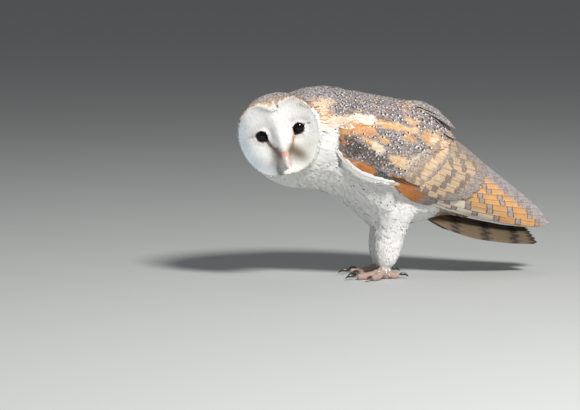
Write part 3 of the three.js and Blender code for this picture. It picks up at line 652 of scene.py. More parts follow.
class Shade:
    """A socket of a material's nodes, so that shader maths reads as plain sums."""

    def __init__(self, tree, socket=None):
        self.tree, self.socket = tree, socket

    def node(self, kind, settings=None, sockets=None, output=0):
        """Adds any node: its settings first, then its sockets' values or links."""
        made = self.tree.nodes.new(kind)
        for name, value in (settings or {}).items():
            setattr(made, name, value)
        for name, value in (sockets or {}).items():
            if isinstance(value, Shade):
                self.tree.links.new(value.socket, made.inputs[name])
            else:
                made.inputs[name].default_value = value
        return Shade(self.tree, made.outputs[output])

    def other(self, output):
        return Shade(self.tree, self.socket.node.outputs[output])

    def noise(self, place, scale, detail=2.0):
        return self.node("ShaderNodeTexNoise", None, {"Vector": place, "Scale": scale, "Detail": detail})

    def object_place(self):
        return self.node("ShaderNodeTexCoord", output="Object")

    def across_vane(self):
        """The place across a vane, from 0 to 1. Its Y output is the place along the shaft."""
        vane = self.node("ShaderNodeUVMap", {"uv_map": "Vane"})
        return self.node("ShaderNodeSeparateXYZ", None, {"Vector": vane})

    def painted(self):
        """The mesh's own tint, and its marks: spots or bars, grey pepper, and a number for each feather."""
        tint, marks = (self.node("ShaderNodeAttribute", {"attribute_name": a}) for a in ("tint", "marks"))
        spots = self.node("ShaderNodeSeparateColor", None, {"Color": marks})
        return tint, spots, spots.other("Green"), spots.other("Blue")

    def maths(self, operation, *values, clamp=False):
        settings = {"operation": operation, "use_clamp": clamp}
        return self.node("ShaderNodeMath", settings, dict(enumerate(values)))

    def __add__(self, other):
        return self.maths("ADD", self, other)

    def __sub__(self, other):
        return self.maths("SUBTRACT", self, other)

    def __rsub__(self, other):
        return self.maths("SUBTRACT", other, self)

    def __mul__(self, other):
        return self.maths("MULTIPLY", self, other)

    def __truediv__(self, other):
        return self.maths("DIVIDE", self, other)

    def __abs__(self):
        return self.maths("ABSOLUTE", self)

    __radd__, __rmul__ = __add__, __mul__

    def kept(self):
        """The value held between 0 and 1."""
        return self.maths("ADD", self, 0.0, clamp=True)

    def between(self, low, high):
        """0 at low, rising smoothly to 1 at high."""
        return self.node("ShaderNodeMapRange", {"interpolation_type": "SMOOTHSTEP"},
                         {"Value": self, "From Min": low, "From Max": high})

    def blend(self, under, over):
        """The colour over on the colour under, with this value as its share."""
        under, over = (paint if isinstance(paint, Shade) else (*paint, 1) for paint in (under, over))
        return self.node("ShaderNodeMix", {"data_type": "RGBA"}, {0: self, 6: under, 7: over}, 2)

    def lit(self, paint):
        """A colour made lighter or darker by this value."""
        return self.node("ShaderNodeVectorMath", {"operation": "SCALE"}, {0: paint, "Scale": self})


def new_material(name, roughness, **fixed):
    """A material with numbers that are the same all over, and the start of its nodes."""
    made = bpy.data.materials.new(name)
    made.use_nodes = True
    shader = made.node_tree.nodes["Principled BSDF"]
    shader.inputs["Roughness"].default_value = roughness
    for socket, value in fixed.items():
        shader.inputs[socket.replace("_", " ")].default_value = value
    return made, Shade(made.node_tree)


def finished(made, paint, height=None, strength=0.0, distance=0.0):
    """The material with its paint and, where a height is given, with a fine relief."""
    shader = made.node_tree.nodes["Principled BSDF"]
    made.node_tree.links.new(paint.socket, shader.inputs["Base Color"])
    if height:
        relief = paint.node("ShaderNodeBump", None,
                            {"Strength": strength, "Distance": distance, "Height": height})
        made.node_tree.links.new(relief.socket, shader.inputs["Normal"])
    return made


def skin_material():
    """Skin in the colours of the coat over it, with lids and toes in their own, and small scales as bump."""
    made, start = new_material("skin", 0.62, Specular_IOR_Level=0.35)
    tint, _, pepper, _ = start.painted()
    place = start.object_place()
    scales = start.node("ShaderNodeTexVoronoi", {"feature": "F1"}, {"Vector": place, "Scale": 900.0})
    grains = start.noise(place, 950.0, 1.5).between(0.47, 0.60)
    paint = (grains * pepper * 0.5).blend((0.86 + scales * 0.3).lit(tint), colour(74, 66, 68))
    return finished(made, paint, scales, 0.5, 0.0005)


def wear(piece, material):
    piece.data.materials.clear()
    piece.data.materials.append(material)
    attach(piece, "root")
    return piece


wear(skin, skin_material())
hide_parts(*FLESH)

# ---------------------------------------------------------------------------------------------------------
# Eyes: wet black globes, each turned to look where the head does. Their dark brown iris hardly parts from
# the pupil.


def eye_material():
    made, start = new_material("eye", 0.03, Specular_IOR_Level=0.32)
    place = start.node("ShaderNodeUVMap", {"uv_map": "Iris"})
    out = start.node("ShaderNodeSeparateXYZ", None, {"Vector": place})
    iris = (0.4 + start.noise(place, 30.0, 3.0)).lit(colour(44, 30, 26))
    return finished(made, out.between(0.52, 0.60).blend(colour(8, 8, 12), iris))


wet_black = eye_material()
for side, _ in SIDES:
    bpy.ops.object.select_all(action="DESELECT")
    bpy.ops.mesh.primitive_uv_sphere_add(segments=48, ring_count=28, radius=EYE_RADIUS * mm)
    globe = bpy.context.object
    globe.name = f"eyeball_{side}"
    iris_map = globe.data.uv_layers.new(name="Iris")
    for corner in globe.data.loops:
        p = globe.data.vertices[corner.vertex_index].co / (EYE_RADIUS * mm)
        from_pupil = math.hypot(p.x, p.y) if p.z > 0 else 1.0
        iris_map.data[corner.index].uv = (from_pupil, math.atan2(p.y, p.x) / 6.3)
    set_in_head(globe, middle_of(f"eye_{side}"))
    wear(globe, wet_black)
    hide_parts(f"eye_{side}")

# ---------------------------------------------------------------------------------------------------------
# Bill and claws: horn. The bill is pinkish ivory, redder towards its root, and hangs down out of the face's
# barbs. The claws are brownish black. Each is the solid's own form, rounded.


def horn(node, name, material):
    piece = bare_copy(node, 0)
    piece.name = name
    pick(piece)
    rounding = piece.modifiers.new("rounding", "SUBSURF")
    rounding.levels = rounding.render_levels = 2
    bpy.ops.object.modifier_apply(modifier="rounding")
    piece.data.shade_smooth()
    wear(piece, material)
    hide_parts(node)


def bill_material():
    made, start = new_material("bill", 0.36, Coat_Weight=0.3, Coat_Roughness=0.25)
    place = start.object_place()
    low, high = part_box("bill_upper")
    height = start.node("ShaderNodeSeparateXYZ", None, {"Vector": place}).other("Z")
    root = height.between(low.z + 0.006, high.z - 0.004)
    paint = root.blend(colour(232, 216, 208), colour(206, 164, 150))
    streaks = start.noise(place, 260.0, 3.0).between(0.45, 0.7) * 0.3
    return finished(made, streaks.blend(paint, colour(196, 140, 124)))


def claw_material():
    made, start = new_material("claw", 0.32, Coat_Weight=0.4, Coat_Roughness=0.2)
    streaks = start.noise(start.object_place(), 420.0, 3.0).between(0.35, 0.75)
    return finished(made, streaks.blend(colour(38, 30, 28), colour(92, 76, 66)))


horn_of_bill, horn_of_claws = bill_material(), claw_material()
for half in ("upper", "lower"):
    horn(f"bill_{half}", f"beak_{half}", horn_of_bill)
for side, _ in SIDES:
    for toe in ("inner", "middle", "outer", "hind"):
        horn(f"claw_{side}_{toe}", f"talon_{side}_{toe}", horn_of_claws)

# ---------------------------------------------------------------------------------------------------------
# Body feathers: small soft vanes with frayed tips over breast, belly, neck, nape, crown and legs. Each grows
# from the skin, follows the form along its lie and covers the roots of those behind it.

BAKE_PATCH, PATCH_SHIFT = 0.003, 0.0012  # of the skin's own unwrap, for a small feather
BRIGHTEST = 0.96
MARKED_SHARE = 0.66  # of the feathers have droplets where the spots are strongest
COLOUR_SHIFT = 0.9 * mm  # each takes its colour from this far beside its place, so that fields fray
WING_FRONT = -69  # the station where the folded wing starts


def feather_material(name, barbs, streak, drop_size):
    """Soft feathers: fine barbs, grey pepper and, near each tip, a dark and a white droplet."""
    made, start = new_material(name, 0.78, Sheen_Weight=0.25, Sheen_Roughness=0.5, Specular_IOR_Level=0.25)
    tint, spots, pepper, seed = start.painted()
    across = start.across_vane()
    along = across.other("Y")
    place = start.object_place()
    shifted = {0: across * barbs + seed * 40, 1: along * 1.6 + seed * 9}
    combed = start.node("ShaderNodeCombineXYZ", None, shifted)
    fine = start.noise(combed, 2.2)
    grains, cloud = start.noise(place, 560.0, 2.5), start.noise(place, 210.0)
    paint = (1 - streak + fine * (2 * streak)).lit(tint)
    for share, strength, over in (
        (grains.between(0.47, 0.60), 0.66, colour(74, 66, 69)),
        (grains.between(0.44, 0.34), 0.6, colour(232, 224, 220)),
        (cloud.between(0.54, 0.72), 0.4, colour(196, 160, 124)),
        (cloud.between(0.47, 0.33), 0.45, colour(98, 90, 90)),
    ):
        paint = (share * pepper * strength).blend(paint, over)
    off = abs(across - 0.5) * (2.0 / drop_size)
    here = spots.between(0.25, 0.8)
    for middle, length, width, over in (
        (0.80, 0.060, 0.34, colour(38, 31, 32)),
        (0.905, 0.046, 0.30, colour(246, 243, 240)),
    ):
        beside, beyond = off / width, (along - middle) / length
        droplet = (1.35 - (beside * beside + beyond * beyond)).kept().between(0.2, 0.6)
        paint = (droplet * here * 0.97).blend(paint, over)
    return finished(made, paint, fine, 0.2, 0.0003)


plumage = feather_material("plumage", 9.0, 0.16, 0.8)


def mesh_of(name, points, faces):
    """A mesh from its corners and from lists of faces, each list with one number of corners to a face."""
    mesh = bpy.data.meshes.new(name)
    mesh.vertices.add(len(points))
    mesh.vertices.foreach_set("co", points.astype(np.float32).ravel())
    corners = np.concatenate([f.ravel() for f in faces])
    sizes = np.concatenate([np.full(len(f), f.shape[1]) for f in faces])
    mesh.loops.add(len(corners))
    mesh.loops.foreach_set("vertex_index", corners.astype(np.int32))
    mesh.polygons.add(len(sizes))
    mesh.polygons.foreach_set("loop_start", (np.cumsum(sizes) - sizes).astype(np.int32))
    mesh.update(calc_edges=True)
    mesh.shade_smooth()
    return put(name, mesh), corners


def note(piece, name, kind, domain, values):
    """Writes a value for each of the mesh's corners or edges."""
    piece.data.attributes.new(name, kind, domain).data.foreach_set("value", values)


def finish_map(piece, corners, local, patch, count):
    """The map along and across each feather, and the map that it is kept on."""
    kept = patch[:, None, :2] + (local[None] - 0.5) * patch[:, None, 2:]
    for name, places in (("Vane", np.tile(local, (count, 1))), ("OFBake", kept.reshape(-1, 2))):
        layer = piece.data.uv_layers.new(name=name)
        layer.uv.foreach_set("vector", places[corners].astype(np.float32).ravel())


def sheets(name, upper, inner, share, patch, tint, marks, from_tip=None, turned=False):
    """Feathers as one mesh: places of their upper faces, with the inner part of their under sides. Both meet
    in a sharp edge, so that a feather looks flat. Tint and marks are for each place, row or feather."""
    count, rows, columns = upper.shape[:3]
    top = np.arange(rows * columns).reshape(rows, columns)
    below = top.copy()
    below[1:-1, 1:-1] = rows * columns + np.arange((rows - 2) * (columns - 2)).reshape(rows - 2, columns - 2)

    def quads(grid, turned):
        a, b, c, d = grid[:-1, :-1], grid[:-1, 1:], grid[1:, 1:], grid[1:, :-1]
        return np.stack([a, d, c, b] if turned else [a, b, c, d], -1).reshape(-1, 4)

    def both(values):
        """Values of the upper face, given again for the under side."""
        full = np.broadcast_to(values, (count, rows, columns, values.shape[-1]))
        parts = full, full[:, 1:-1, 1:-1]
        return np.concatenate([part.reshape(count, -1, values.shape[-1]) for part in parts], 1)

    whole = np.concatenate([upper.reshape(count, -1, 3), inner.reshape(count, -1, 3)], 1)
    each = whole.shape[1]
    pattern = np.concatenate([quads(top, turned), quads(below, not turned)])
    faces = (pattern[None] + (np.arange(count) * each)[:, None, None]).reshape(-1, 4)
    piece, corners = mesh_of(name, whole.reshape(-1, 3), [faces])
    flat = np.stack(np.meshgrid((share + 1) / 2, np.linspace(0, 1, rows)), -1)
    local = np.concatenate([flat.reshape(-1, 2), flat[1:-1, 1:-1].reshape(-1, 2)])
    finish_map(piece, corners, local, patch, count)
    rim = np.zeros(each, bool)
    grid = rim[:rows * columns].reshape(rows, columns)
    grid[[0, -1]] = grid[:, [0, -1]] = True
    ends = values_of(piece.data.edges, "vertices", 2, int) % each
    note(piece, "sharp_edge", "BOOLEAN", "EDGE", rim[ends].all(1))
    paint_mesh(piece.data, both(tint).reshape(count * each, -1), both(marks).reshape(count * each, -1))
    if from_tip is not None:
        reach = both(from_tip[:, :, None, None]).ravel()
        note(piece, "from_tip", "FLOAT", "POINT", reach.astype(np.float32))
    return piece


def vanes(name, shaft, normal, heading, half, thick, patch, tint, marks, ragged, camber, columns, seed):
    """Feathers round their shafts, with the half width at each row, a little camber and a ragged tip."""
    count, rows = shaft.shape[:2]
    rng = np.random.default_rng(seed)
    share = np.linspace(-1, 1, columns)
    across = np.cross(heading, normal)
    drop = -camber * share**2 * half[..., None]
    fray = np.zeros((count, rows, columns))
    fray[:, -1] = rng.uniform(-1, 0.35, (count, columns)) * ragged
    fray[:, -2] = rng.uniform(-0.4, 0.2, (count, columns)) * ragged
    upper = (
        shaft[:, :, None]
        + across[:, :, None] * (half[..., None] * share)[..., None]
        + normal[:, :, None] * drop[..., None]
        + heading[:, :, None] * fray[..., None]
    )
    inner = upper[:, 1:-1, 1:-1] - normal[:, 1:-1, None] * thick
    return sheets(name, upper, inner, share, patch, tint, marks)


def tangent(ways, normals):
    """Directions laid flat on a surface."""
    return unit(ways - normals * (ways * normals).sum(-1, keepdims=True))


def in_rows(spine):
    """What is given row by row for all feathers, as arrays of feathers by rows."""
    return (np.stack(values, 1) for values in zip(*spine))


def drape(roots, lie, length, rows):
    """Walks each feather's shaft from its root along the lie of the coat, on the form."""
    at, normal, _ = closest(form_tree, roots)
    heading = tangent(lie(at), normal)
    spine = [(at, normal, heading)]
    for _ in range(rows - 1):
        at, turned, _ = closest(form_tree, at + heading * (length / (rows - 1))[:, None])
        normal = unit(normal + turned)
        heading = tangent(heading * 0.5 + tangent(lie(at), normal) * 0.5, normal)
        spine.append((at, normal, heading))
    return in_rows(spine)


def skin_patch(roots, size=BAKE_PATCH):
    """Each feather's place and size on the skin's own unwrap."""
    _, _, faces = closest(skin_tree, roots)
    rng = np.random.default_rng(5)
    middle = face_uv[faces] + rng.uniform(-PATCH_SHIFT, PATCH_SHIFT, (len(roots), 2))
    return np.concatenate([np.clip(middle, size, 1 - size), np.full((len(roots), 2), size)], 1)


def scatter(candidates, spacing, seed):
    """Picks places at least this far apart, out of many, in a fixed irregular order."""
    order = np.random.default_rng(seed).permutation(len(candidates))
    taken, cells = [], {}
    spacing = np.broadcast_to(spacing, len(candidates))
    cell = float(spacing.max())
    for i in order:
        p = candidates[i]
        key = tuple((p // cell).astype(int))
        near = (j for dx in (-1, 0, 1) for dy in (-1, 0, 1) for dz in (-1, 0, 1)
                for j in cells.get((key[0] + dx, key[1] + dy, key[2] + dz), ()))
        if all(((candidates[j] - p) ** 2).sum() > spacing[i] ** 2 for j in near):
            cells.setdefault(key, []).append(i)
            taken.append(i)
    return np.array(taken)


def roots_on(mask, per_face, spacing, seed):
    """Roots this far apart over the chosen part of the form, each with the part that it belongs to."""
    rng = np.random.default_rng(seed)
    loops = values_of(form.data.loops, "vertex_index", 1, int)
    start = values_of(form.data.polygons, "loop_start", 1, int)
    quad = np.stack([loops[start + k] for k in range(4)], 1)
    quad = np.repeat(quad[mask[quad[:, 0]]], per_face, axis=0)
    a, b = rng.uniform(0, 1, (2, len(quad), 1))
    corners = outer[quad]
    lower = corners[:, 0] * (1 - a) + corners[:, 1] * a
    higher = corners[:, 3] * (1 - a) + corners[:, 2] * a
    places = lower * (1 - b) + higher * b
    keep = scatter(places, spacing(station_of(places)[0]) * mm, seed)
    return places[keep], part_of[quad[keep, 0]]


def lie_of_body(points):
    """The lie of the plumage: off the face to the nape, along the body and down the legs."""
    x, z = station_of(points)
    side, up, front = in_head(points)
    from_face = unit(np.stack([side - DISC_SIDE, up - DISC_MIDDLE], 1))
    outwards = from_face[:, :1] * head_side + from_face[:, 1:] * head_up
    near_rim = ramp(front, -34, -6)[:, None]
    off_face = -head_front + outwards * (0.12 + 0.3 * near_rim)
    body = ramp(x + 0.25 * (z - 150), -136, -110)[:, None]
    way = laid(unit(off_face), np.array([1, 0, -0.32]), body)
    leg = (ramp(z, 78, 52) * ramp(x, -32, -22) * ramp(x, 40, 20))[:, None]
    return laid(way, np.array([0.22, 0, -1]), leg)


def taper(rows, root=0.3, widest=0.55, tip=0.5):
    """A soft feather's outline: the share of its full width at each row."""
    t = np.linspace(0, 1, rows)
    rising = root + (1 - root) * np.sin(np.clip(t / widest, 0, 1) * math.pi / 2)
    falling = 1 - (1 - tip) * np.clip((t - widest) / (1 - widest), 0, 1) ** 2
    return rising * falling


def soft_coat(name, roots, parts, length, half, ragged, depth, seed, material=plumage,
              rows=4, columns=4, thick=0.1, camber=0.05, lift=0.15, tip=0.5, lie=lie_of_body,
              patch=BAKE_PATCH):
    """A piece of coat from its roots. Length, half width, raggedness and depth are in millimetres. The shafts
    rise from the skin at their roots to the outer form at their tips."""
    rng = np.random.default_rng(seed)
    count = len(roots)
    length = np.broadcast_to(length, count) * rng.uniform(0.85, 1.15, count)
    half = np.broadcast_to(half, count) * rng.uniform(0.88, 1.12, count)
    depth = np.broadcast_to(depth, count) * rng.uniform(0.8, 1.05, count)
    spine, normal, heading = drape(roots, lie, length * mm, rows)
    across = np.cross(heading, normal)
    wander = rng.normal(0, 0.07, (count, 1))
    t = np.linspace(0, 1, rows)
    bent = spine + (across[:, 0] * wander)[:, None] * (t**2)[None, :, None] * (length * mm)[:, None, None]
    lifted = rng.uniform(-0.1, 1, count) * lift
    height = -depth[:, None] * (1 - t) ** 1.7 + lifted[:, None] * t
    shaft = bent + normal * height[..., None] * mm
    outline = taper(rows, tip=tip)[None] * (half * mm)[:, None]
    shift = rng.normal(0, COLOUR_SHIFT, (count, 1, 1, 3))
    share = np.linspace(-1, 1, columns)
    places = spine[:, :, None] + across[:, :, None] * (outline[..., None] * share)[..., None] + shift
    grid = (count, rows, columns)
    tint, spots, pepper = markings(places.reshape(-1, 3), np.repeat(parts, rows * columns))
    tint = tint.reshape(*grid, 3) * rng.uniform(0.95, 1.03, (count, 1, 1, 1))
    marked = rng.uniform(0, 1, count) < MARKED_SHARE * spots.reshape(grid)[:, -2, columns // 2]
    own = rng.uniform(0, 1, (count, 1, 1))
    marks = np.stack([np.broadcast_to(marked[:, None, None], grid), pepper.reshape(grid),
                      np.broadcast_to(own, grid)], -1)
    piece = vanes(name, shaft, normal, heading, outline, thick * mm, skin_patch(roots, patch),
                  np.clip(tint, 0, BRIGHTEST), marks, ragged * mm, camber, columns, seed)
    return wear(piece, material)


# Breast, belly and neck, apart from what shoulders and folded wings cover.
x_at, z_at = station_of(outer)
covered = (
    is_part("trunk") & (x_at > WING_FRONT + 1) & (outer_normal[:, 2] > -0.35)
    & (z_at > np.maximum(WING_LOWER(x_at) + 5, 60)) & (z_at < BACK_LINE(x_at) - 4)
)
bare_trunk = is_part("neck", "trunk") & ~covered


def on_neck(x):
    return ramp(x, -90, -130)


for name, half_mask, seed in (("breast_left", outer[:, 1] < 0, 11), ("breast_right", outer[:, 1] >= 0, 12)):
    roots, parts = roots_on(bare_trunk & half_mask, 3, lambda x: 2.9 - 0.7 * on_neck(x), seed)
    x_at, z_at = station_of(roots)
    small = on_neck(x_at)
    at_wing_height = (z_at > WING_LOWER(-73) - 16) & (z_at < WING_UPPER(-73) + 12)
    before_wing = at_wing_height & (np.abs(roots[:, 1]) > 18 * mm)
    room = np.where(before_wing, np.maximum(WING_FRONT - x_at, 3), 99)
    soft_coat(name, roots, parts, np.minimum(18 - 6 * small, room), 3.3 - 1.1 * small, 2.6, 3.2, seed,
              rows=5, columns=6)

roots, parts = roots_on(is_part("head") & ~on_face, 4, lambda x: 2.3, 13)
soft_coat("crown", roots, parts, 9.5, 1.8, 1.2, 2.3, 13)

roots, parts = roots_on(is_part("thigh", "shank"), 4, lambda x: 2.3, 14)
tall = ramp(roots[:, 2] / mm, 22, 60)
soft_coat("leggings", roots, parts, 10 + 5 * tall, 1.5 + 0.8 * tall, 2.2, 1.8 + 0.8 * tall, 14)

# ---------------------------------------------------------------------------------------------------------
# The face: thousands of fine loose barbs that spread from each eye to the rim of the heart. They are white,
# with grey painted shade over each eye, rusty streaks from the eyes to the bill, tan stains beside it
# deepened with painted shade, and painted blue-grey shade round the right and lower rim.

BARB_ROWS = 5
BARB_WIDTH = np.interp(np.linspace(0, 1, BARB_ROWS), [0, 0.3, 0.7, 1], [0.3, 0.62, 0.52, 0.12]) * mm
BARB_SPACING = 0.66
BARB_TRIALS, FLUFF_BARBS = 70000, 2900


def blades(name, shaft, normal, heading, width, thick, patch, tint, marks):
    """Slender barbs as one mesh, three-sided and pointed at both ends, with a width and tint for each row."""
    count, rows = shaft.shape[:2]
    beside = np.cross(heading, normal)[:, 1:-1] * width[1:-1, None]
    middle = shaft[:, 1:-1]
    rings = np.stack([middle - beside, middle + beside, middle + normal[:, 1:-1] * thick], 2)
    whole = np.concatenate([shaft[:, :1], rings.reshape(count, -1, 3), shaft[:, -1:]], 1)
    each = whole.shape[1]
    last = 1 + 3 * (rows - 3)
    fans, walls = [], []
    for a, b in ((0, 1), (1, 2), (2, 0)):
        fans += [[0, 1 + a, 1 + b], [each - 1, last + b, last + a]]
        walls += [[near + b, near + a, near + 3 + a, near + 3 + b] for near in range(1, last, 3)]
    shift = (np.arange(count) * each)[:, None, None]
    faces = [(np.array(f)[None] + shift).reshape(-1, len(f[0])) for f in (fans, walls)]
    piece, corners = mesh_of(name, whole.reshape(-1, 3), faces)
    ring_places = [[u, v] for v in np.linspace(0, 1, rows)[1:-1] for u in (0, 1, 0.5)]
    finish_map(piece, corners, np.array([[0.5, 0], *ring_places, [0.5, 1]]), patch, count)
    row_of = np.concatenate([[0], np.repeat(np.arange(1, rows - 1), 3), [rows - 1]])
    tint = np.clip(tint, 0, BRIGHTEST)[:, row_of]
    paint_mesh(piece.data, tint.reshape(-1, 3), np.repeat(marks, each, axis=0))
    # The two lower lines are sharp, from point to point.
    line_of = np.concatenate([[3], np.tile([0, 1, 2], rows - 2), [3]])
    lines = line_of[values_of(piece.data.edges, "vertices", 2, int) % each]
    along = (lines[:, 0] == lines[:, 1]) & (lines[:, 0] < 2)
    to_point = (lines == 3).any(1) & (lines < 2).any(1)
    note(piece, "sharp_edge", "BOOLEAN", "EDGE", along | to_point)
    return wear(piece, plumage)


def face_lie(side, up):
    """The way the barbs point, along the face's side and up directions."""
    way = np.zeros((len(side), 2))
    for at in (EYE_APART, -EYE_APART):
        off = np.stack([side - at, up], 1)
        far = np.maximum(np.linalg.norm(off, axis=1, keepdims=True), 3)
        way += off / far**2.6
    off = np.stack([side, up + 20], 1)
    way += 0.5 * off / np.maximum(np.linalg.norm(off, axis=1, keepdims=True), 6) ** 2.6
    down_ridge = (bell(side, 6) * ramp(up, -20, -14))[:, None]
    return unit(laid(unit(way), np.array([0, -1]), down_ridge))


def from_eyes(side, up):
    """The distance from the nearer eye's middle, shorter towards the corners of its opening."""
    off = [(side - EYE_APART * -way, up, way) for _, way in SIDES]
    return np.minimum(*(np.hypot(a, b) / eye_outline(np.arctan2(b, a), way) for a, b, way in off))


def lid_rise(side, up):
    """The face's feathers rise by this over the rims of the eyes, and most over the upper lids."""
    return (1.9 + 0.7 * ramp(up, 0, 5)) * bell(from_eyes(side, up) - 7.0, 2.2)


def face_normal(side, up, step=0.4):
    slope_s = (face_relief(side + step, up) - face_relief(side - step, up)) / (2 * step)
    slope_u = (face_relief(side, up + step) - face_relief(side, up - step)) / (2 * step)
    return unit(head_front - slope_s[:, None] * head_side - slope_u[:, None] * head_up)


rng = np.random.default_rng(21)
s, u = rng.uniform(-54, 54, (2, BARB_TRIALS))
from_eye = from_eyes(s, u)
under_bill = (np.abs(s) < 3.4) & (u < -24) & (u > -40)
open_face = (face_share(s, u) < 0.94) & (from_eye > 6.15) & ~under_bill
s, u, from_eye = s[open_face], u[open_face], from_eye[open_face]
keep = scatter(np.stack([s, u, 0 * u], 1), BARB_SPACING, 21)
s, u, from_eye = s[keep], u[keep], from_eye[keep]
on_left = s >= 0
to_rim = 1.5 + DISC_RADIUS * np.maximum(0.93 - face_share(s, u), 0)
barb_length = np.minimum(5 + 10 * ramp(from_eye, 7, 24), to_rim) * rng.uniform(0.8, 1.2, len(s))
step_length = barb_length / (BARB_ROWS - 1)
blur = rng.normal(0, 0.45, (2, len(s)))
lean = rng.normal(0, 0.10, len(s))
way = face_lie(s, u)
rows_of_barbs = []
for t in np.linspace(0, 1, BARB_ROWS):
    if t:
        s, u = s + way[:, 0] * step_length, u + way[:, 1] * step_length
        aside = np.stack([-way[:, 1], way[:, 0]], 1)
        way = unit(0.6 * way + 0.4 * face_lie(s, u) + lean[:, None] * aside * 0.4)
    height = -0.6 * (1 - t) + (0.1 + 0.35 * rng.uniform(0, 1, len(s))) * t + lid_rise(s, u)
    slope = face_normal(s, u)
    rows_of_barbs.append((
        head_place(s, u, face_relief(s, u)) + slope * height[:, None] * mm,
        unit(0.5 * slope + 0.5 * head_front),  # loose barbs turn their flat sides to the front
        tangent(way[:, :1] * head_side + way[:, 1:] * head_up, slope),
        face_tint(s + blur[0], u + blur[1]),
    ))
shaft, normal, heading, tint = in_rows(rows_of_barbs)
tint = tint * rng.uniform(0.93, 1.03, (len(s), 1, 1))
marks = np.stack([0 * s, 0 * s, rng.uniform(0, 1, len(s))], 1)
patch = skin_patch(shaft[:, 1])
for name, half in (("face_left", on_left), ("face_right", ~on_left)):
    blades(name, shaft[half], normal[half], heading[half], BARB_WIDTH, 0.12 * mm, patch[half], tint[half],
           marks[half])

# ---------------------------------------------------------------------------------------------------------
# The ruff: short stiff feathers in close rows round the rim of the heart, white below, rusty on both sides
# of the notch on top, with brown dots along the lower edge. Loose white fluff spreads over its lower part.

RUFF_RUSTY, RUFF_TAN = colour(158, 84, 38), colour(206, 160, 116)


def top_share(angle, wide, soft):
    return ramp(from_top_of_face(angle), wide + soft, wide)[:, None]


def rim_at(angle, offset):
    """Places beside the rim of the face, with the direction that points straight out of the rim there."""
    step = 0.01
    near, far = rim_radius(angle - step), rim_radius(angle + step)
    along_s = far * np.cos(angle + step) - near * np.cos(angle - step)
    along_u = far * np.sin(angle + step) - near * np.sin(angle - step)
    norm = np.hypot(along_s, along_u)
    out_s, out_u = along_u / norm, -along_s / norm
    radius = rim_radius(angle)
    s = np.cos(angle) * radius + DISC_SIDE + out_s * offset
    u = np.sin(angle) * radius + DISC_MIDDLE + out_u * offset
    return s, u, out_s, out_u


def white_ruff(angle):
    return WHITE * np.ones((len(angle), 1))


def rusty_ruff(angle):
    patchy = 0.72 + 0.28 * np.sin(angle * 61) * np.sin(angle * 23 + 1)
    paint = laid(WHITE, RUFF_RUSTY, top_share(angle, 42, 10) * patchy[:, None])
    return laid(paint, WHITE, bell(np.degrees(angle) - 90, 3)[:, None])


def tan_ruff(angle):
    return laid(WHITE, RUFF_TAN, top_share(angle, 60, 16))


def ruff_row(name, offset, back, length, half, paint_of, seed, spacing=1.5, stand=0.35, spotted=0.0,
             shrink=0.0, between=(0, 360)):
    """A row of feathers on the rim. Each stands on it and bends outwards and back."""
    rng = np.random.default_rng(seed)
    start, end = np.radians(between)
    angle = np.linspace(start, end, int((end - start) * DISC_RADIUS / spacing), endpoint=False)
    angle = angle + rng.normal(0, 0.004, len(angle))
    s, u, out_s, out_u = rim_at(angle, offset)
    size = rng.uniform(0.85, 1.2, len(angle)) * (1 - shrink * top_share(angle, 46, 12)[:, 0])
    outwards = out_s[:, None] * head_side + out_u[:, None] * head_up
    spine = []
    for t in np.linspace(0, 1, BARB_ROWS):
        run = length * size * t
        ahead = run * (1 - 0.45 * t)
        depth = face_relief(s, u) - back + stand * run * (1 - 1.5 * t)
        turned = unit(head_front * (1 - 0.7 * t) + outwards * (0.15 + 0.7 * t))
        place = head_place(s + out_s * ahead, u + out_u * ahead, depth)
        spine.append((place, turned, tangent(outwards - head_front * t, turned)))
    shaft, normal, heading = in_rows(spine)
    outline = taper(BARB_ROWS, root=0.6, widest=0.6, tip=0.62)[None] * (half * mm * size)[:, None]
    tint = np.clip(paint_of(angle) * rng.uniform(0.92, 1.03, (len(angle), 1)), 0, BRIGHTEST)
    dotted = (rng.uniform(0, 1, len(angle)) < spotted) * (np.sin(angle) < -0.1)
    marks = np.stack([dotted, 0 * angle, rng.uniform(0, 1, len(angle))], 1)
    ruff = vanes(name, shaft, normal, heading, outline, 0.3 * mm, skin_patch(shaft[:, 0]),
                 tint[:, None, None], marks[:, None, None], 0.5 * mm, 0.35, 5, seed)
    wear(ruff, plumage)


ruff_row("ruff_inner", -5.8, 0.6, 4.2, 1.1, white_ruff, 31, stand=0.12, shrink=0.55)
ruff_row("ruff_middle", -3.8, 0.8, 5.2, 1.15, rusty_ruff, 32, stand=0.34, spotted=0.2)
ruff_row("ruff_outer", -3.0, 2.6, 5.2, 1.6, tan_ruff, 33, spacing=1.7, stand=0.15)
ruff_row("ruff_cheek", -2.0, 4.5, 7.0, 1.0, white_ruff, 34, spacing=0.9, stand=0.05, between=(-95, -5))

rng = np.random.default_rng(35)
angle = np.radians(rng.uniform(-205, 26, FLUFF_BARBS))
s, u, out_s, out_u = rim_at(angle, rng.uniform(-7.5, -3.5, len(angle)))
reach = (5.5 + 2.8 * ramp(np.cos(angle), 0, 0.8)) * rng.uniform(0.7, 1.25, len(angle))
sway = rng.normal(0, 0.16, len(angle))
outwards = (out_s - out_u * sway)[:, None] * head_side + (out_u + out_s * sway)[:, None] * head_up
spine = []
for t in np.linspace(0, 1, BARB_ROWS):
    run = reach * t * (1 - 0.3 * t)
    depth = face_relief(s, u) + 0.7 * np.sin(math.pi * t) - reach * 0.42 * t**2.5
    turned = unit(head_front * (1 - 0.55 * t) + outwards * (0.1 + 0.5 * t))
    place = head_place(s, u, depth) + outwards * run[:, None] * mm
    spine.append((place, turned, tangent(outwards - 0.5 * t * head_front, turned)))
shaft, normal, heading = in_rows(spine)
tint = np.repeat(face_tint(s, u)[:, None], BARB_ROWS, 1) * rng.uniform(0.93, 1.03, (len(angle), 1, 1))
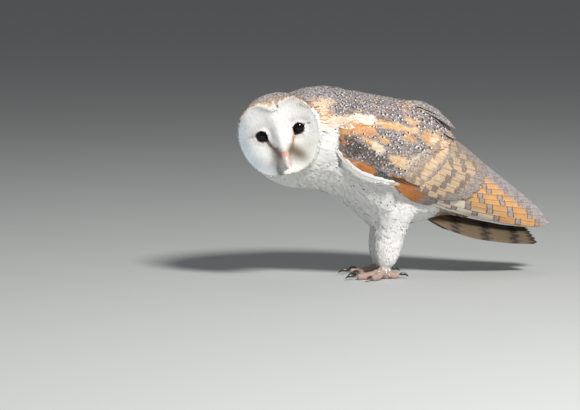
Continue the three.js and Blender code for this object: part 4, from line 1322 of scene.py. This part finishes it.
blades("face_fluff", shaft, normal, heading, BARB_WIDTH * 0.8, 0.1 * mm, skin_patch(shaft[:, 0]), tint,
       np.zeros((len(angle), 3)))

# ---------------------------------------------------------------------------------------------------------
# Shoulder feathers and wing coverts: firmer vanes in even rows, each with a dark and a white droplet at its
# tip where the plumage is grey. They lie over the roots of the flight feathers.

LIE_ABOVE = line((-73, -0.05), (-30, -0.12), (20, -0.42), (60, -0.62), (120, -0.8), (197, -0.85))
LIE_BELOW = line((-73, -0.95), (-52, -0.55), (-20, -0.3), (40, -0.32), (100, -0.25), (197, -0.03))
COVERT_SPACING = line((-73, 3.2), (-30, 4.2), (20, 5.4), (90, 6.2))
RAY_START = 0.2  # rays start well outside the bird
LONG_ROWS = 12
TURN_STEP, ROW_STEP = 0.105, 6.4  # between shoulder feathers, round the back and along it
TRIAL_STEP = 1.1  # between the places from which the coverts' roots are picked

# Root and tip of each long shoulder feather on its own side, its arch and half width, in millimetres.
LONG_SHOULDER = {
    "left": [
        (45, 22, 173, 76, 22.6, 157, 3, 5.4),
        (22, 15, 196, 77.5, 19, 167.3, 6.4, 5.8),
        (22, 15, 197, 66.5, 17, 178.5, 6.4, 5.4),
        (4, 14, 194, 49, 16.5, 193.5, 5.2, 5.4),
    ],
    "right": [
        (45, 22, 170, 74, 22.6, 155, 3, 5.4),
        (20, 15, 186, 70, 19, 166, 5, 5.8),
        (0, 14, 190, 44, 16.5, 189, 4, 5.4),
    ],
}

firm = feather_material("coverts", 16.0, 0.14, 0.9)


def lie_of_wing(points):
    """Along the folded wing: with its upper edge above and with its lower edge below."""
    x, z = station_of(points)
    share = np.clip((WING_UPPER(x) - z) / (WING_UPPER(x) - WING_LOWER(x)), -0.3, 1)
    slope = LIE_ABOVE(x) * (1 - share) + LIE_BELOW(x) * share
    return np.stack([np.ones(len(x)), 0 * x, slope], 1)


def cast(starts, ways):
    """Where rays first meet the form, with the part met there."""
    found, parts, met = np.zeros_like(starts), np.zeros(len(starts), int), np.zeros(len(starts), bool)
    for i, (start, way) in enumerate(zip(starts, ways)):
        place, _, face, _ = form_tree.ray_cast(Vector(start), Vector(way))
        if place is not None:
            found[i], met[i] = place, True
            parts[i] = part_of[form.data.polygons[face].vertices[0]]
    return found, parts, met


def contour_coat(name, roots, parts, length, half, depth, seed, lift=0.15):
    soft_coat(name, roots, parts, length, half, 0.8, depth, seed, firm, rows=7, columns=7, thick=0.16,
              camber=0.1, lift=lift, tip=0.55, lie=lie_of_wing, patch=0.004)


def shoulder_rows(side, way):
    """Rows along the back, seen from the body's own axis."""
    turns = np.arange(0.02, 1.5, TURN_STEP)
    a, b = np.meshgrid(turns, np.arange(-74.8, 82, ROW_STEP))
    b = b + ROW_STEP / 2 * (np.arange(len(turns)) % 2)[None]
    rng = np.random.default_rng(40)
    a, b = (a + rng.normal(0, 0.012, a.shape)).ravel(), (b + rng.normal(0, 0.5, b.shape)).ravel()
    axis = np.stack([(b + STATION_ZERO) * mm, 0 * b, (150 - 0.32 * np.maximum(b, 0)) * mm], 1)
    outwards = np.stack([0 * a, way * np.sin(a), np.cos(a)], 1)
    roots, parts, met = cast(axis + outwards * RAY_START, -outwards)
    upper_back = (b < -54) & (a < 0.8) & among(parts, "trunk", "neck")
    met &= upper_back | among(parts, f"scapulars_{side}")
    roots, parts = roots[met], parts[met]
    x_at, _ = station_of(roots)
    size, last = ramp(x_at, -60, 40), ramp(x_at, 34, 60)
    contour_coat(f"shoulder_{side}", roots, parts, 17 + 8 * size - 9 * last, 4.6 + 1.6 * size, 2.4, 41,
                 lift=0.3 + 0.6 * last)


def long_shoulder(side, way):
    """The last ones are long, and their ends stand off the back in steps."""
    feathers = np.array(LONG_SHOULDER[side], float)
    off_back = np.array([0.25, 0.62 * way, 0.75])
    t = np.linspace(0, 1, LONG_ROWS)[None, :, None]
    shaft = feathers[:, None, :3] * (1 - t) + feathers[:, None, 3:6] * t
    shaft = shaft * [1, way, 1] + [STATION_ZERO, 0, 0]
    shaft = shaft + unit(off_back) * (4 * t * (1 - t) * feathers[:, None, 6:7] + 0.6)
    heading = unit(np.gradient(shaft, axis=1))
    normal = tangent(np.broadcast_to(off_back, shaft.shape), heading)
    pointed = np.clip(1 - ((t[..., 0] - 0.72) / 0.28).clip(0) ** 1.6, 0.04, 1)
    half = np.clip(t[..., 0] / 0.4, 0.3, 1) * pointed * feathers[:, 7:] * mm
    parts = np.full(half.size, FLESH.index("scapulars_left"))
    tint, spots, pepper = markings(shaft.reshape(-1, 3) * mm, parts)
    marks = np.stack([0 * spots, pepper, 0.4 + 0 * spots], 1)
    tint, marks = (a.reshape(*half.shape, 1, 3) for a in (tint * 1.12, marks))
    piece = vanes(f"long_shoulder_{side}", shaft * mm, normal, heading, half, 0.4 * mm,
                  own_patches(len(feathers), 1.0), tint, marks, 0.8 * mm, 0.12, 7, 46)
    wear(piece, firm)


def wing_coverts(side, way):
    """Small over the wrist, longer towards the flight feathers. They leave room for the thumb's feathers."""
    trials = np.meshgrid(np.arange(-76, 100, TRIAL_STEP), np.arange(104, 196, TRIAL_STEP))
    x_at, z_at = (a.ravel() for a in trials)
    rng = np.random.default_rng(42)
    x_at = x_at + rng.uniform(-0.5, 0.5, len(x_at))
    z_at = z_at + rng.uniform(-0.5, 0.5, len(z_at))
    starts = np.stack([(x_at + STATION_ZERO) * mm, np.full(len(x_at), way * RAY_START), z_at * mm], 1)
    roots, parts, met = cast(starts, np.tile([0, -way, 0], (len(starts), 1)))
    met &= among(parts, f"wing_{side}_coverts")
    roots, parts = roots[met], parts[met]
    x_at, z_at = station_of(roots)
    spacing = COVERT_SPACING(x_at)
    above = z_at - WING_LOWER(x_at)
    thumb = ((above > 6) & (above < 6 + 5 * ramp(x_at, -64, -42))) | ((above < 14) & (x_at > -17))
    keep = scatter(roots, spacing * mm, 43)
    keep = keep[~thumb[keep]]
    contour_coat(f"coverts_{side}", roots[keep], parts[keep], spacing[keep] * 4, spacing[keep], 1.5, 44)


def own_patches(count, shape):
    """A large patch of the map for each of a few feathers, side by side."""
    columns = max(1, round(math.sqrt(count * shape)))
    rows = math.ceil(count / columns)
    at = np.arange(count)
    middle = np.stack([(at % columns + 0.5) / columns, (at // columns + 0.5) / rows], 1)
    return np.concatenate([middle, np.tile([0.94 / columns, 0.94 / rows], (count, 1))], 1)


for side, way in SIDES:
    shoulder_rows(side, way)
    long_shoulder(side, way)
    wing_coverts(side, way)

# ---------------------------------------------------------------------------------------------------------
# Flight feathers: ten primaries and nine secondaries to a wing, stiff vanes on pale shafts. The primaries
# are golden with squarish grey bars, the secondaries paler; grey at their ends. Shorter ones cover their
# roots, three stand on the thumb, and small white ones edge the wing.

# Each feather: root and tip on the side view, sag, lower and upper half width, how far base and end lie
# outside the wing, in millimetres. Primaries run from the outermost, lowest, to the innermost.
PRIMARY_TIPS = [(190, 53.2), (196.6, 55.5), (191.5, 64), (184.5, 72), (176, 79.5), (167, 87), (157.5, 95),
                (148.5, 102.5), (139, 109.5), (129.5, 116.5)]
PRIMARIES = [
    (-6 + 1.2 * k, 107 + 2.4 * k, x, z, 8.5 - 0.75 * k, 3.0 if k == 0 else 6.2, 11.5, -3.2, -1.9 + 0.27 * k)
    for k, (x, z) in enumerate(PRIMARY_TIPS)
]
SECONDARY_TIPS = [(69, 93.5), (79, 91.5), (93, 93.5), (102, 100.5), (109, 108.5), (115, 116), (118, 124.5),
                  (108, 133.5), (97, 142)]
SECONDARIES = [
    (-8 + 6.4 * k, 124 + 4.3 * k, x, z, 3.4 - 0.4 * k, 8.4, 11.5, -3.0, 0.95 + 0.16 * k)
    for k, (x, z) in enumerate(SECONDARY_TIPS)
]
PRIMARY_COVERTS = [
    (-18 + 1.5 * k, 113.5 + 2.2 * k, x, z, 2.6, 4.6, 6.5, -0.9, 0.45 + 0.1 * k)
    for k, (x, z) in enumerate([(43, 84.5), (48, 86.5), (49, 91), (45, 96), (38, 101)])
]
THUMB = [
    (-68, 139, -9, 116, 3.4, 3.0, 4.0, -0.8, 0.2),
    (-64, 141, -16, 120, 2.6, 3.4, 4.0, -0.7, 0.35),
    (-58, 142, -26, 124, 1.8, 3.4, 4.0, -0.7, 0.45),
]
EDGE_RISE, EDGE_LENGTH = 3.6, 24
LEADING_EDGE = [
    (x, WING_LOWER(x) + EDGE_RISE, x + EDGE_LENGTH,
     WING_LOWER(x + EDGE_LENGTH) + EDGE_RISE + 0.8 * (k % 2), 0.7,
     2.4 + 1.6 * bell(k - 3, 3), 2.4 + 2.2 * bell(k - 3, 3), -0.5, 0.6 + 0.14 * (k % 2))
    for k, x in enumerate(range(-72, -28, 6))
]
GREATER_COVERT_TIPS = [(30, 111), (38, 115.5), (45, 121), (52, 127), (58, 133), (64, 138.5), (70, 144),
                       (75, 148.5)]
GREATER_COVERTS = [
    (x - 36 + 1.5 * k, z + 15 + 0.6 * k, x, z, 1.0, 5.4, 6.5, -2.6, 1.35 + 0.07 * k)
    for k, (x, z) in enumerate(GREATER_COVERT_TIPS)
]


def wing_surface(side, way):
    """The folded wing's outer face as a smooth function of station and height, in metres."""
    groups = ("coverts", "secondaries", "primaries")
    trees = [tree_of(frame["nodes"][f"wing_{side}_{group}"].data) for group in groups]
    taken = []
    for x in np.arange(-71, 197, 4.0):
        for z in np.arange(WING_LOWER(x) + 1.2, WING_UPPER(x) - 0.5, 3.0):
            start = Vector(((x + STATION_ZERO) * mm, way * RAY_START, z * mm))
            hits = [tree.ray_cast(start, Vector((0, -way, 0)))[0] for tree in trees]
            hits = [hit.y for hit in hits if hit is not None]
            if hits:
                taken.append((x, z, max(hits, key=abs)))
    x, z, y = np.array(taken).T

    def terms(x, z):
        a, b = x / 130, (z - 110) / 60
        return np.stack([a**i * b**j for i in range(6) for j in range(5) if i + j < 7], -1)

    fitted = np.linalg.lstsq(terms(x, z), y, rcond=None)[0]
    return lambda x, z: terms(x, z) @ fitted


def stiff_vanes(name, upper, outwards, thick, shape, tint, marks, from_tip, share, material):
    """Large vanes from their upper faces' places, each with a map of its own."""
    inner = upper[:, 1:-1, 1:-1] - outwards * thick
    piece = sheets(name, upper, inner, share, own_patches(len(upper), shape), tint, marks, from_tip, True)
    return wear(piece, material)


def flight_group(name, way, surface, feathers, slot, material, tint_of, rows, columns=7, narrow=0.25):
    """Vanes laid on the wing, with their colours from tint_of."""
    count = len(feathers)
    data = np.array(feathers, float)
    root, tip = data[:, 0:2], data[:, 2:4]
    sag, lower, upper, base, end = data.T[4:, :, None]
    t = np.linspace(0, 1, rows)
    chord = unit(tip - root)
    aside = np.stack([chord[:, 1], -chord[:, 0]], 1)  # towards the wing's lower edge
    shaft = root[:, None] + (tip - root)[:, None] * t[None, :, None]
    shaft = shaft + aside[:, None] * (4 * sag * t * (1 - t))[..., None]
    heading = unit(np.gradient(shaft, axis=1))
    aside = np.stack([heading[..., 1], -heading[..., 0]], -1)
    outline = np.sin(np.clip(t / 0.5, 0, 1) * math.pi / 2) * (1 - narrow) + narrow
    outline = outline * np.sqrt(np.clip(1 - ((t - 0.8) / 0.2) ** 2, 0, 1) * (t > 0.8) + (t <= 0.8))
    outline = np.maximum(outline, 0.12)
    share = np.linspace(-1, 1, columns)
    wide = np.where(share < 0, upper[..., None], lower[..., None]) * outline[None, :, None]
    rng = np.random.default_rng(len(name))
    slant = np.where(share < 0, 0.35, 0.25) * np.abs(share)  # the vane's ends lie behind its shaft's place
    grid = shaft[:, :, None] + aside[:, :, None] * (wide * share)[..., None]
    grid = grid - heading[:, :, None] * (wide * slant * (t > 0.82)[:, None])[..., None] * 0.5
    fray = rng.uniform(-1, 0, (count, rows, columns)) * 0.5 * (t[:, None] > 0.9) * (np.abs(share) > 0.2)
    grid = grid + heading[:, :, None] * fray[..., None]
    x, z = grid[..., 0], grid[..., 1]
    z = np.clip(z, WING_LOWER(x) - 0.3, WING_UPPER(x) + 0.8)
    layer = base + (end - base) * np.clip(t / 0.45, 0, 1)
    arch = 0.5 * (1 - share**2)
    y = surface(x, z) + way * (layer[..., None] + arch) * mm
    places = np.stack([(x + STATION_ZERO) * mm, y, z * mm], -1)
    reach = np.linalg.norm(np.diff(places[:, :, columns // 2], axis=1), axis=-1)
    reach = reach[:, ::-1].cumsum(1)[:, ::-1]
    from_tip = np.concatenate([reach, np.zeros((count, 1))], 1) / mm
    tint, marks = tint_of(x, z, np.broadcast_to(from_tip[..., None], x.shape), share)
    if way > 0:  # in the same order the faces would look inwards on the right
        places, tint, marks, share = places[:, :, ::-1], tint[:, :, ::-1], marks[:, :, ::-1], share[::-1]
    return stiff_vanes(name, places, np.array([0, float(way), 0]), 0.3 * mm, 0.4, tint, marks, from_tip,
                       share, material)


def quill_material(name, pitch, bar, first, bar_paint, edge_paint, ragged=3.0, rim=0.6):
    """A stiff vane: fine slanted barbs, even cross bars from the tip, a pale shaft and grey pepper. Pitch,
    bar width and the first bar's place are in millimetres."""
    made, start = new_material(name, 0.62, Specular_IOR_Level=0.35, Sheen_Weight=0.1)
    tint, barred, pepper, seed = start.painted()
    reach = start.node("ShaderNodeAttribute", {"attribute_name": "from_tip"}, output="Fac")
    across = start.across_vane()
    place = start.object_place()
    off = abs(across - 0.5) * 2.0
    slanted = reach + off * 6.0
    comb = start.node("ShaderNodeCombineXYZ", None, {0: slanted * 0.9, 1: seed * 30.0, 2: across * 3.0})
    barbs = start.noise(comb, 1.6)
    grains = start.noise(place, 800.0)
    wobble = (start.noise(place, 190.0) - 0.5) * ragged
    step = (reach + off * 1.5 - first + seed * 9.0 + wobble) / pitch
    beside = abs(step - start.maths("ROUND", step)) * pitch
    inside = beside.between(bar / 2 + 0.6, bar / 2 - 0.6) * off.between(0.93, 0.86)
    core = beside.between(bar / 2 - 0.9, bar / 2 - 1.9) * off.between(0.80, 0.68)
    speckled = (pepper + inside * barred * 0.5).kept()
    paint = (0.82 + barbs * 0.36).lit(tint)
    for share, over in (
        (inside * barred * 0.85, edge_paint),
        (inside * core * barred, (0.8 + grains * 0.4).lit(bar_paint)),
        (grains.between(0.50, 0.62) * speckled * 0.55, colour(78, 66, 62)),
        (grains.between(0.44, 0.34) * speckled * 0.4, colour(226, 216, 208)),
        (off.between(0.09, 0.03) * 0.6, colour(146, 112, 82)),
        # Painted shade: each vane darker along its outer edge, where the next feather lies over it; rim sets
        # how much.
        (off.between(0.88, 0.97) * rim, colour(82, 56, 42)),
    ):
        paint = share.blend(paint, over)
    return finished(made, paint, barbs * 0.5 + off.between(0.09, 0.0) * 1.2, 0.35, 0.0004)


primary_quill = quill_material("primary_quill", 28.0, 8.5, 26.0, colour(172, 162, 160), colour(84, 62, 52))
secondary_quill = quill_material("secondary_quill", 21.0, 8.0, 27.0, colour(140, 132, 131),
                                 colour(80, 68, 62), 5.0, 0.5)
small_quill = quill_material("small_quill", 400.0, 1.0, 900.0, GREY, GREY, rim=0.3)


def mottled(x, z, seed):
    """Slight uneven light and dark along the feathers, from -1 to 1."""
    flat = np.stack([x.ravel() * 0.35, 0 * x.ravel(), z.ravel()], 1) * mm
    return ripple(flat, 7 * mm, seed).reshape(x.shape)


def shaded(paint, x, z, seed, depth):
    """A colour with slight uneven light and dark."""
    return paint * (1 + depth * mottled(x, z, seed))[..., None]


def for_each(rng, x, low=0.0, high=1.0):
    """One random number for each feather, at all its places."""
    return np.broadcast_to(rng.uniform(low, high, (len(x), 1, 1)), x.shape)


def tinted(tint, barred, peppered, own):
    marks = np.stack(np.broadcast_arrays(barred, peppered, own), -1)
    return np.clip(tint, 0, 1), np.clip(marks, 0, 1)


def primary_tint(x, z, reach, share):
    rng = np.random.default_rng(51)
    near_top = ramp(WING_UPPER(x) - z + 2 * mottled(x, z, 60), 22, 13) * ramp(x, 90, 118)
    towards_body = np.linspace(0.25, 1, len(x))[:, None, None]
    grey = np.maximum(ramp(reach, 22, 10) * towards_body, near_top)
    outermost = (np.arange(len(x)) == 0)[:, None, None] * ramp(share, 0.0, 0.5)
    worn = strip(x, z, ((46, 92), (84, 80)), 6.5) + strip(x, z, ((80, 78), (120, 66)), 4) * 0.6
    # Painted shadow: a dark strip just below the secondaries' overhanging lower edge.
    painted_overhang_shadow = strip(x, z, ((-8, 112), (60, 95)), 3.2)
    tint = shaded(colour(218, 164, 106) * for_each(rng, x, 0.9, 1.06)[..., None], x, z, 61, 0.1)
    for over, laid_on in (
        (colour(236, 196, 146), ramp(share, 0.45, 0.95)[None, None] * ramp(x, 170, 120)),
        (LILAC, grey),
        (WHITE, outermost * ramp(x, 186, 150)),
        (colour(246, 236, 220), np.clip(worn, 0, 0.9)),
    ):
        tint = laid(tint, over, laid_on[..., None])
    tint = tint * (1 - 0.8 * painted_overhang_shadow[..., None])
    return tinted(tint, np.clip(1 - grey * 0.6 - outermost, 0, 1), 0.12 + 0.7 * grey, for_each(rng, x))


def secondary_tint(x, z, reach, share):
    rng = np.random.default_rng(52)
    grey = ramp(reach + 3 * mottled(x, z, 62), 24, 15)
    inner = np.linspace(0, 1, len(x))[:, None, None]
    tint = shaded(colour(216, 186, 150) * for_each(rng, x, 0.88, 1.05)[..., None], x, z, 63, 0.12)
    tint = laid(tint, colour(176, 160, 142), inner[..., None] * 0.7)
    tint = laid(tint, colour(158, 150, 144), grey[..., None])
    barred, peppered = (1 - grey) * (0.95 - 0.45 * inner), 0.35 + 0.4 * grey + 0.4 * inner
    return tinted(tint, barred, peppered, for_each(rng, x))


def greater_covert_tint(x, z, reach, share):
    rng = np.random.default_rng(53)
    grey = np.maximum(ramp(reach + 3 * mottled(x, z, 68), 9, 4), ramp(reach + 4 * mottled(x, z, 69), 16, 26))
    tint = colour(224, 194, 158) * for_each(rng, x, 0.92, 1.05)[..., None]
    tint = laid(tint, GREY * 1.05, (grey * 0.8)[..., None])
    return tinted(tint, (1 - grey) * 0.6, 0.3 + 0.6 * grey, for_each(rng, x))


def primary_covert_tint(x, z, reach, share):
    rusty = colour(188, 116, 54)
    grey = ramp(reach + 2 * mottled(x, z, 64), 24, 16)
    tint = shaded(rusty, x, z, 65, 0.25) + (colour(140, 130, 126) - rusty) * grey[..., None]
    # Painted shadow along their upper edge, where the secondaries overhang them.
    tint = tint * (1 - 0.85 * strip(x, z, ((-8, 117), (60, 100)), 3.4)[..., None])
    return tinted(tint, 0.0, 0.2 + 0.8 * grey, 0.3)


def thumb_tint(x, z, reach, share):
    golden = colour(204, 132, 66)
    grey = ramp(x + 3 * mottled(x, z, 66), -36, -26)
    tint = shaded(golden, x, z, 67, 0.2) + (SLATE - golden) * grey[..., None]
    tint = tint * (1 - 0.55 * ramp(np.abs(share), 0.45, 0.95)[:, None])
    return tinted(tint, 0.0, 0.1 + 0.8 * grey, 0.6)


def edge_tint(x, z, reach, share):
    shade = 0.86 + 0.14 * ramp(np.abs(share), 0.0, 0.5) * ramp(reach, 0, 5)
    return tinted(WHITE * shade[..., None], 0 * x, 0.0, 0.0)


for side, way in SIDES:
    wing = way, wing_surface(side, way)
    primaries = flight_group(f"primaries_{side}", *wing, PRIMARIES, "flight_feathers", primary_quill,
                             primary_tint, 34, 9)
    secondaries = flight_group(f"secondaries_{side}", *wing, SECONDARIES, "flight_feathers", secondary_quill,
                               secondary_tint, 26, 9)
    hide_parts(f"wing_{side}_primaries")
    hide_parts(f"wing_{side}_secondaries")
    for name, feathers, material, tint_of, rows, narrow in (
        ("greater_coverts", GREATER_COVERTS, secondary_quill, greater_covert_tint, 16, 0.25),
        ("primary_coverts", PRIMARY_COVERTS, small_quill, primary_covert_tint, 16, 0.25),
        ("thumb", THUMB, small_quill, thumb_tint, 16, 0.1),
        ("leading_edge", LEADING_EDGE, small_quill, edge_tint, 10, 0.5),
    ):
        flight_group(f"{name}_{side}", *wing, feathers, "covert_feathers", material, tint_of, rows,
                     narrow=narrow)

# ---------------------------------------------------------------------------------------------------------
# Tail: twelve feathers on a low roof, the middle pair on top. Buff-grey with dark cross bars, a pale shaft
# and a dusky end; the outer ones are whiter. Buff and bars are painted far darker than their own colour, as
# painted shade of the wing that lies over the tail.

TAIL_ROOT, TAIL_LENGTH = 48.0, 128.5
TAIL_HEIGHT = line((48, 84), (75, 72.5), (100, 63.5), (140, 54.8), (177, 50))
TAIL_HALF = line((48, 14), (75, 20), (110, 24), (150, 25.5), (177, 25.5))
TAIL_DROP = line((0, 17), (0.2, 20.5), (0.5, 19), (1, 15))
TAIL_PAIRS = 6
TAIL_BARS, TAIL_END = (79, 113.6, 148), (163, 168)  # stations
TAIL_ROWS, TAIL_COLUMNS = 26, 7


def tail_roof(x, share):
    """The height of the tail's upper face at a station and a share of its half width."""
    drop = TAIL_DROP((x - TAIL_ROOT) / TAIL_LENGTH)
    return TAIL_HEIGHT(x) - drop * (np.sqrt(0.15 + share**2) - 0.387) * 1.46


t = np.linspace(0, 1, TAIL_ROWS)
share = np.linspace(-1, 1, TAIL_COLUMNS)
rounded = np.sqrt(np.clip(1 - ((t - 0.86) / 0.14) ** 2 * (t > 0.86), 0.02, 1))
places, from_tip, stations, pair_of = [], [], [], []
for pair in reversed(range(TAIL_PAIRS)):  # the outermost feathers lie lowest
    for way in (-1, 1):
        middle = (0.055 + 0.165 * pair) * way
        half = (0.15 + 0.012 * pair) * np.clip(0.45 + 1.5 * t, 0, 1) * rounded
        end = TAIL_ROOT + TAIL_LENGTH - 6 * (1 - (middle / 0.9) ** 2) - (1.2 if pair == 5 else 0)
        x = TAIL_ROOT + 3 + (end - TAIL_ROOT - 3) * t[:, None] + 0 * share
        across = np.clip(middle + half[:, None] * share, -1, 1)
        layer = (TAIL_PAIRS - 1 - pair) * 0.32
        z = (tail_roof(x, across) - 1.9 * (1 - 0.45 * t[:, None]) + layer * (1 - 0.35 * t[:, None])
             + 0.25 * (1 - share**2))
        places.append(np.stack([(x + STATION_ZERO) * mm, across * TAIL_HALF(x) * mm, z * mm], -1))
        from_tip.append(end - x[:, 0])
        stations.append(x)
        pair_of.append(pair)
stations = np.stack(stations)
outer_share = np.array(pair_of, float)[:, None, None]
bars = [ramp(np.abs(stations - 2.0 * np.abs(share) - at), 5.4, 4.4) for at in TAIL_BARS]
bars = np.maximum.reduce(bars + [ramp(stations, *TAIL_END)])
# Painted shade of the wing: the buff is painted dark brown and the bars near black.
tint = laid(colour(84, 70, 52), colour(112, 96, 72), (outer_share / 5 * 0.6)[..., None])
tint = laid(tint, colour(92, 70, 48), ((share > 0.15) * 0.5)[:, None])
tint = laid(tint, colour(10, 8, 8), (bars * (0.98 - 0.03 * outer_share))[..., None])
own = np.linspace(0, 1, len(bars))[:, None, None]
marks = np.stack(np.broadcast_arrays(0 * bars, 0.06, own), -1)
tail = stiff_vanes("tail_feathers", np.stack(places), np.array([0, 0, 1.0]), 0.35 * mm, 0.5, tint, marks,
                   np.stack(from_tip), share, small_quill)
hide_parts("tail")

# ---------------------------------------------------------------------------------------------------------
# The end: the outer form was only a guide and goes, and nothing stands outside the solids' own box.

bpy.data.objects.remove(form)
for piece in bpy.context.scene.objects:
    if piece.type == "MESH" and piece != floor and piece not in frame["nodes"].values():
        places = values_of(piece.data.vertices, "co", 3)
        piece.data.vertices.foreach_set("co", np.clip(places, *np.array(cad_box)).ravel())
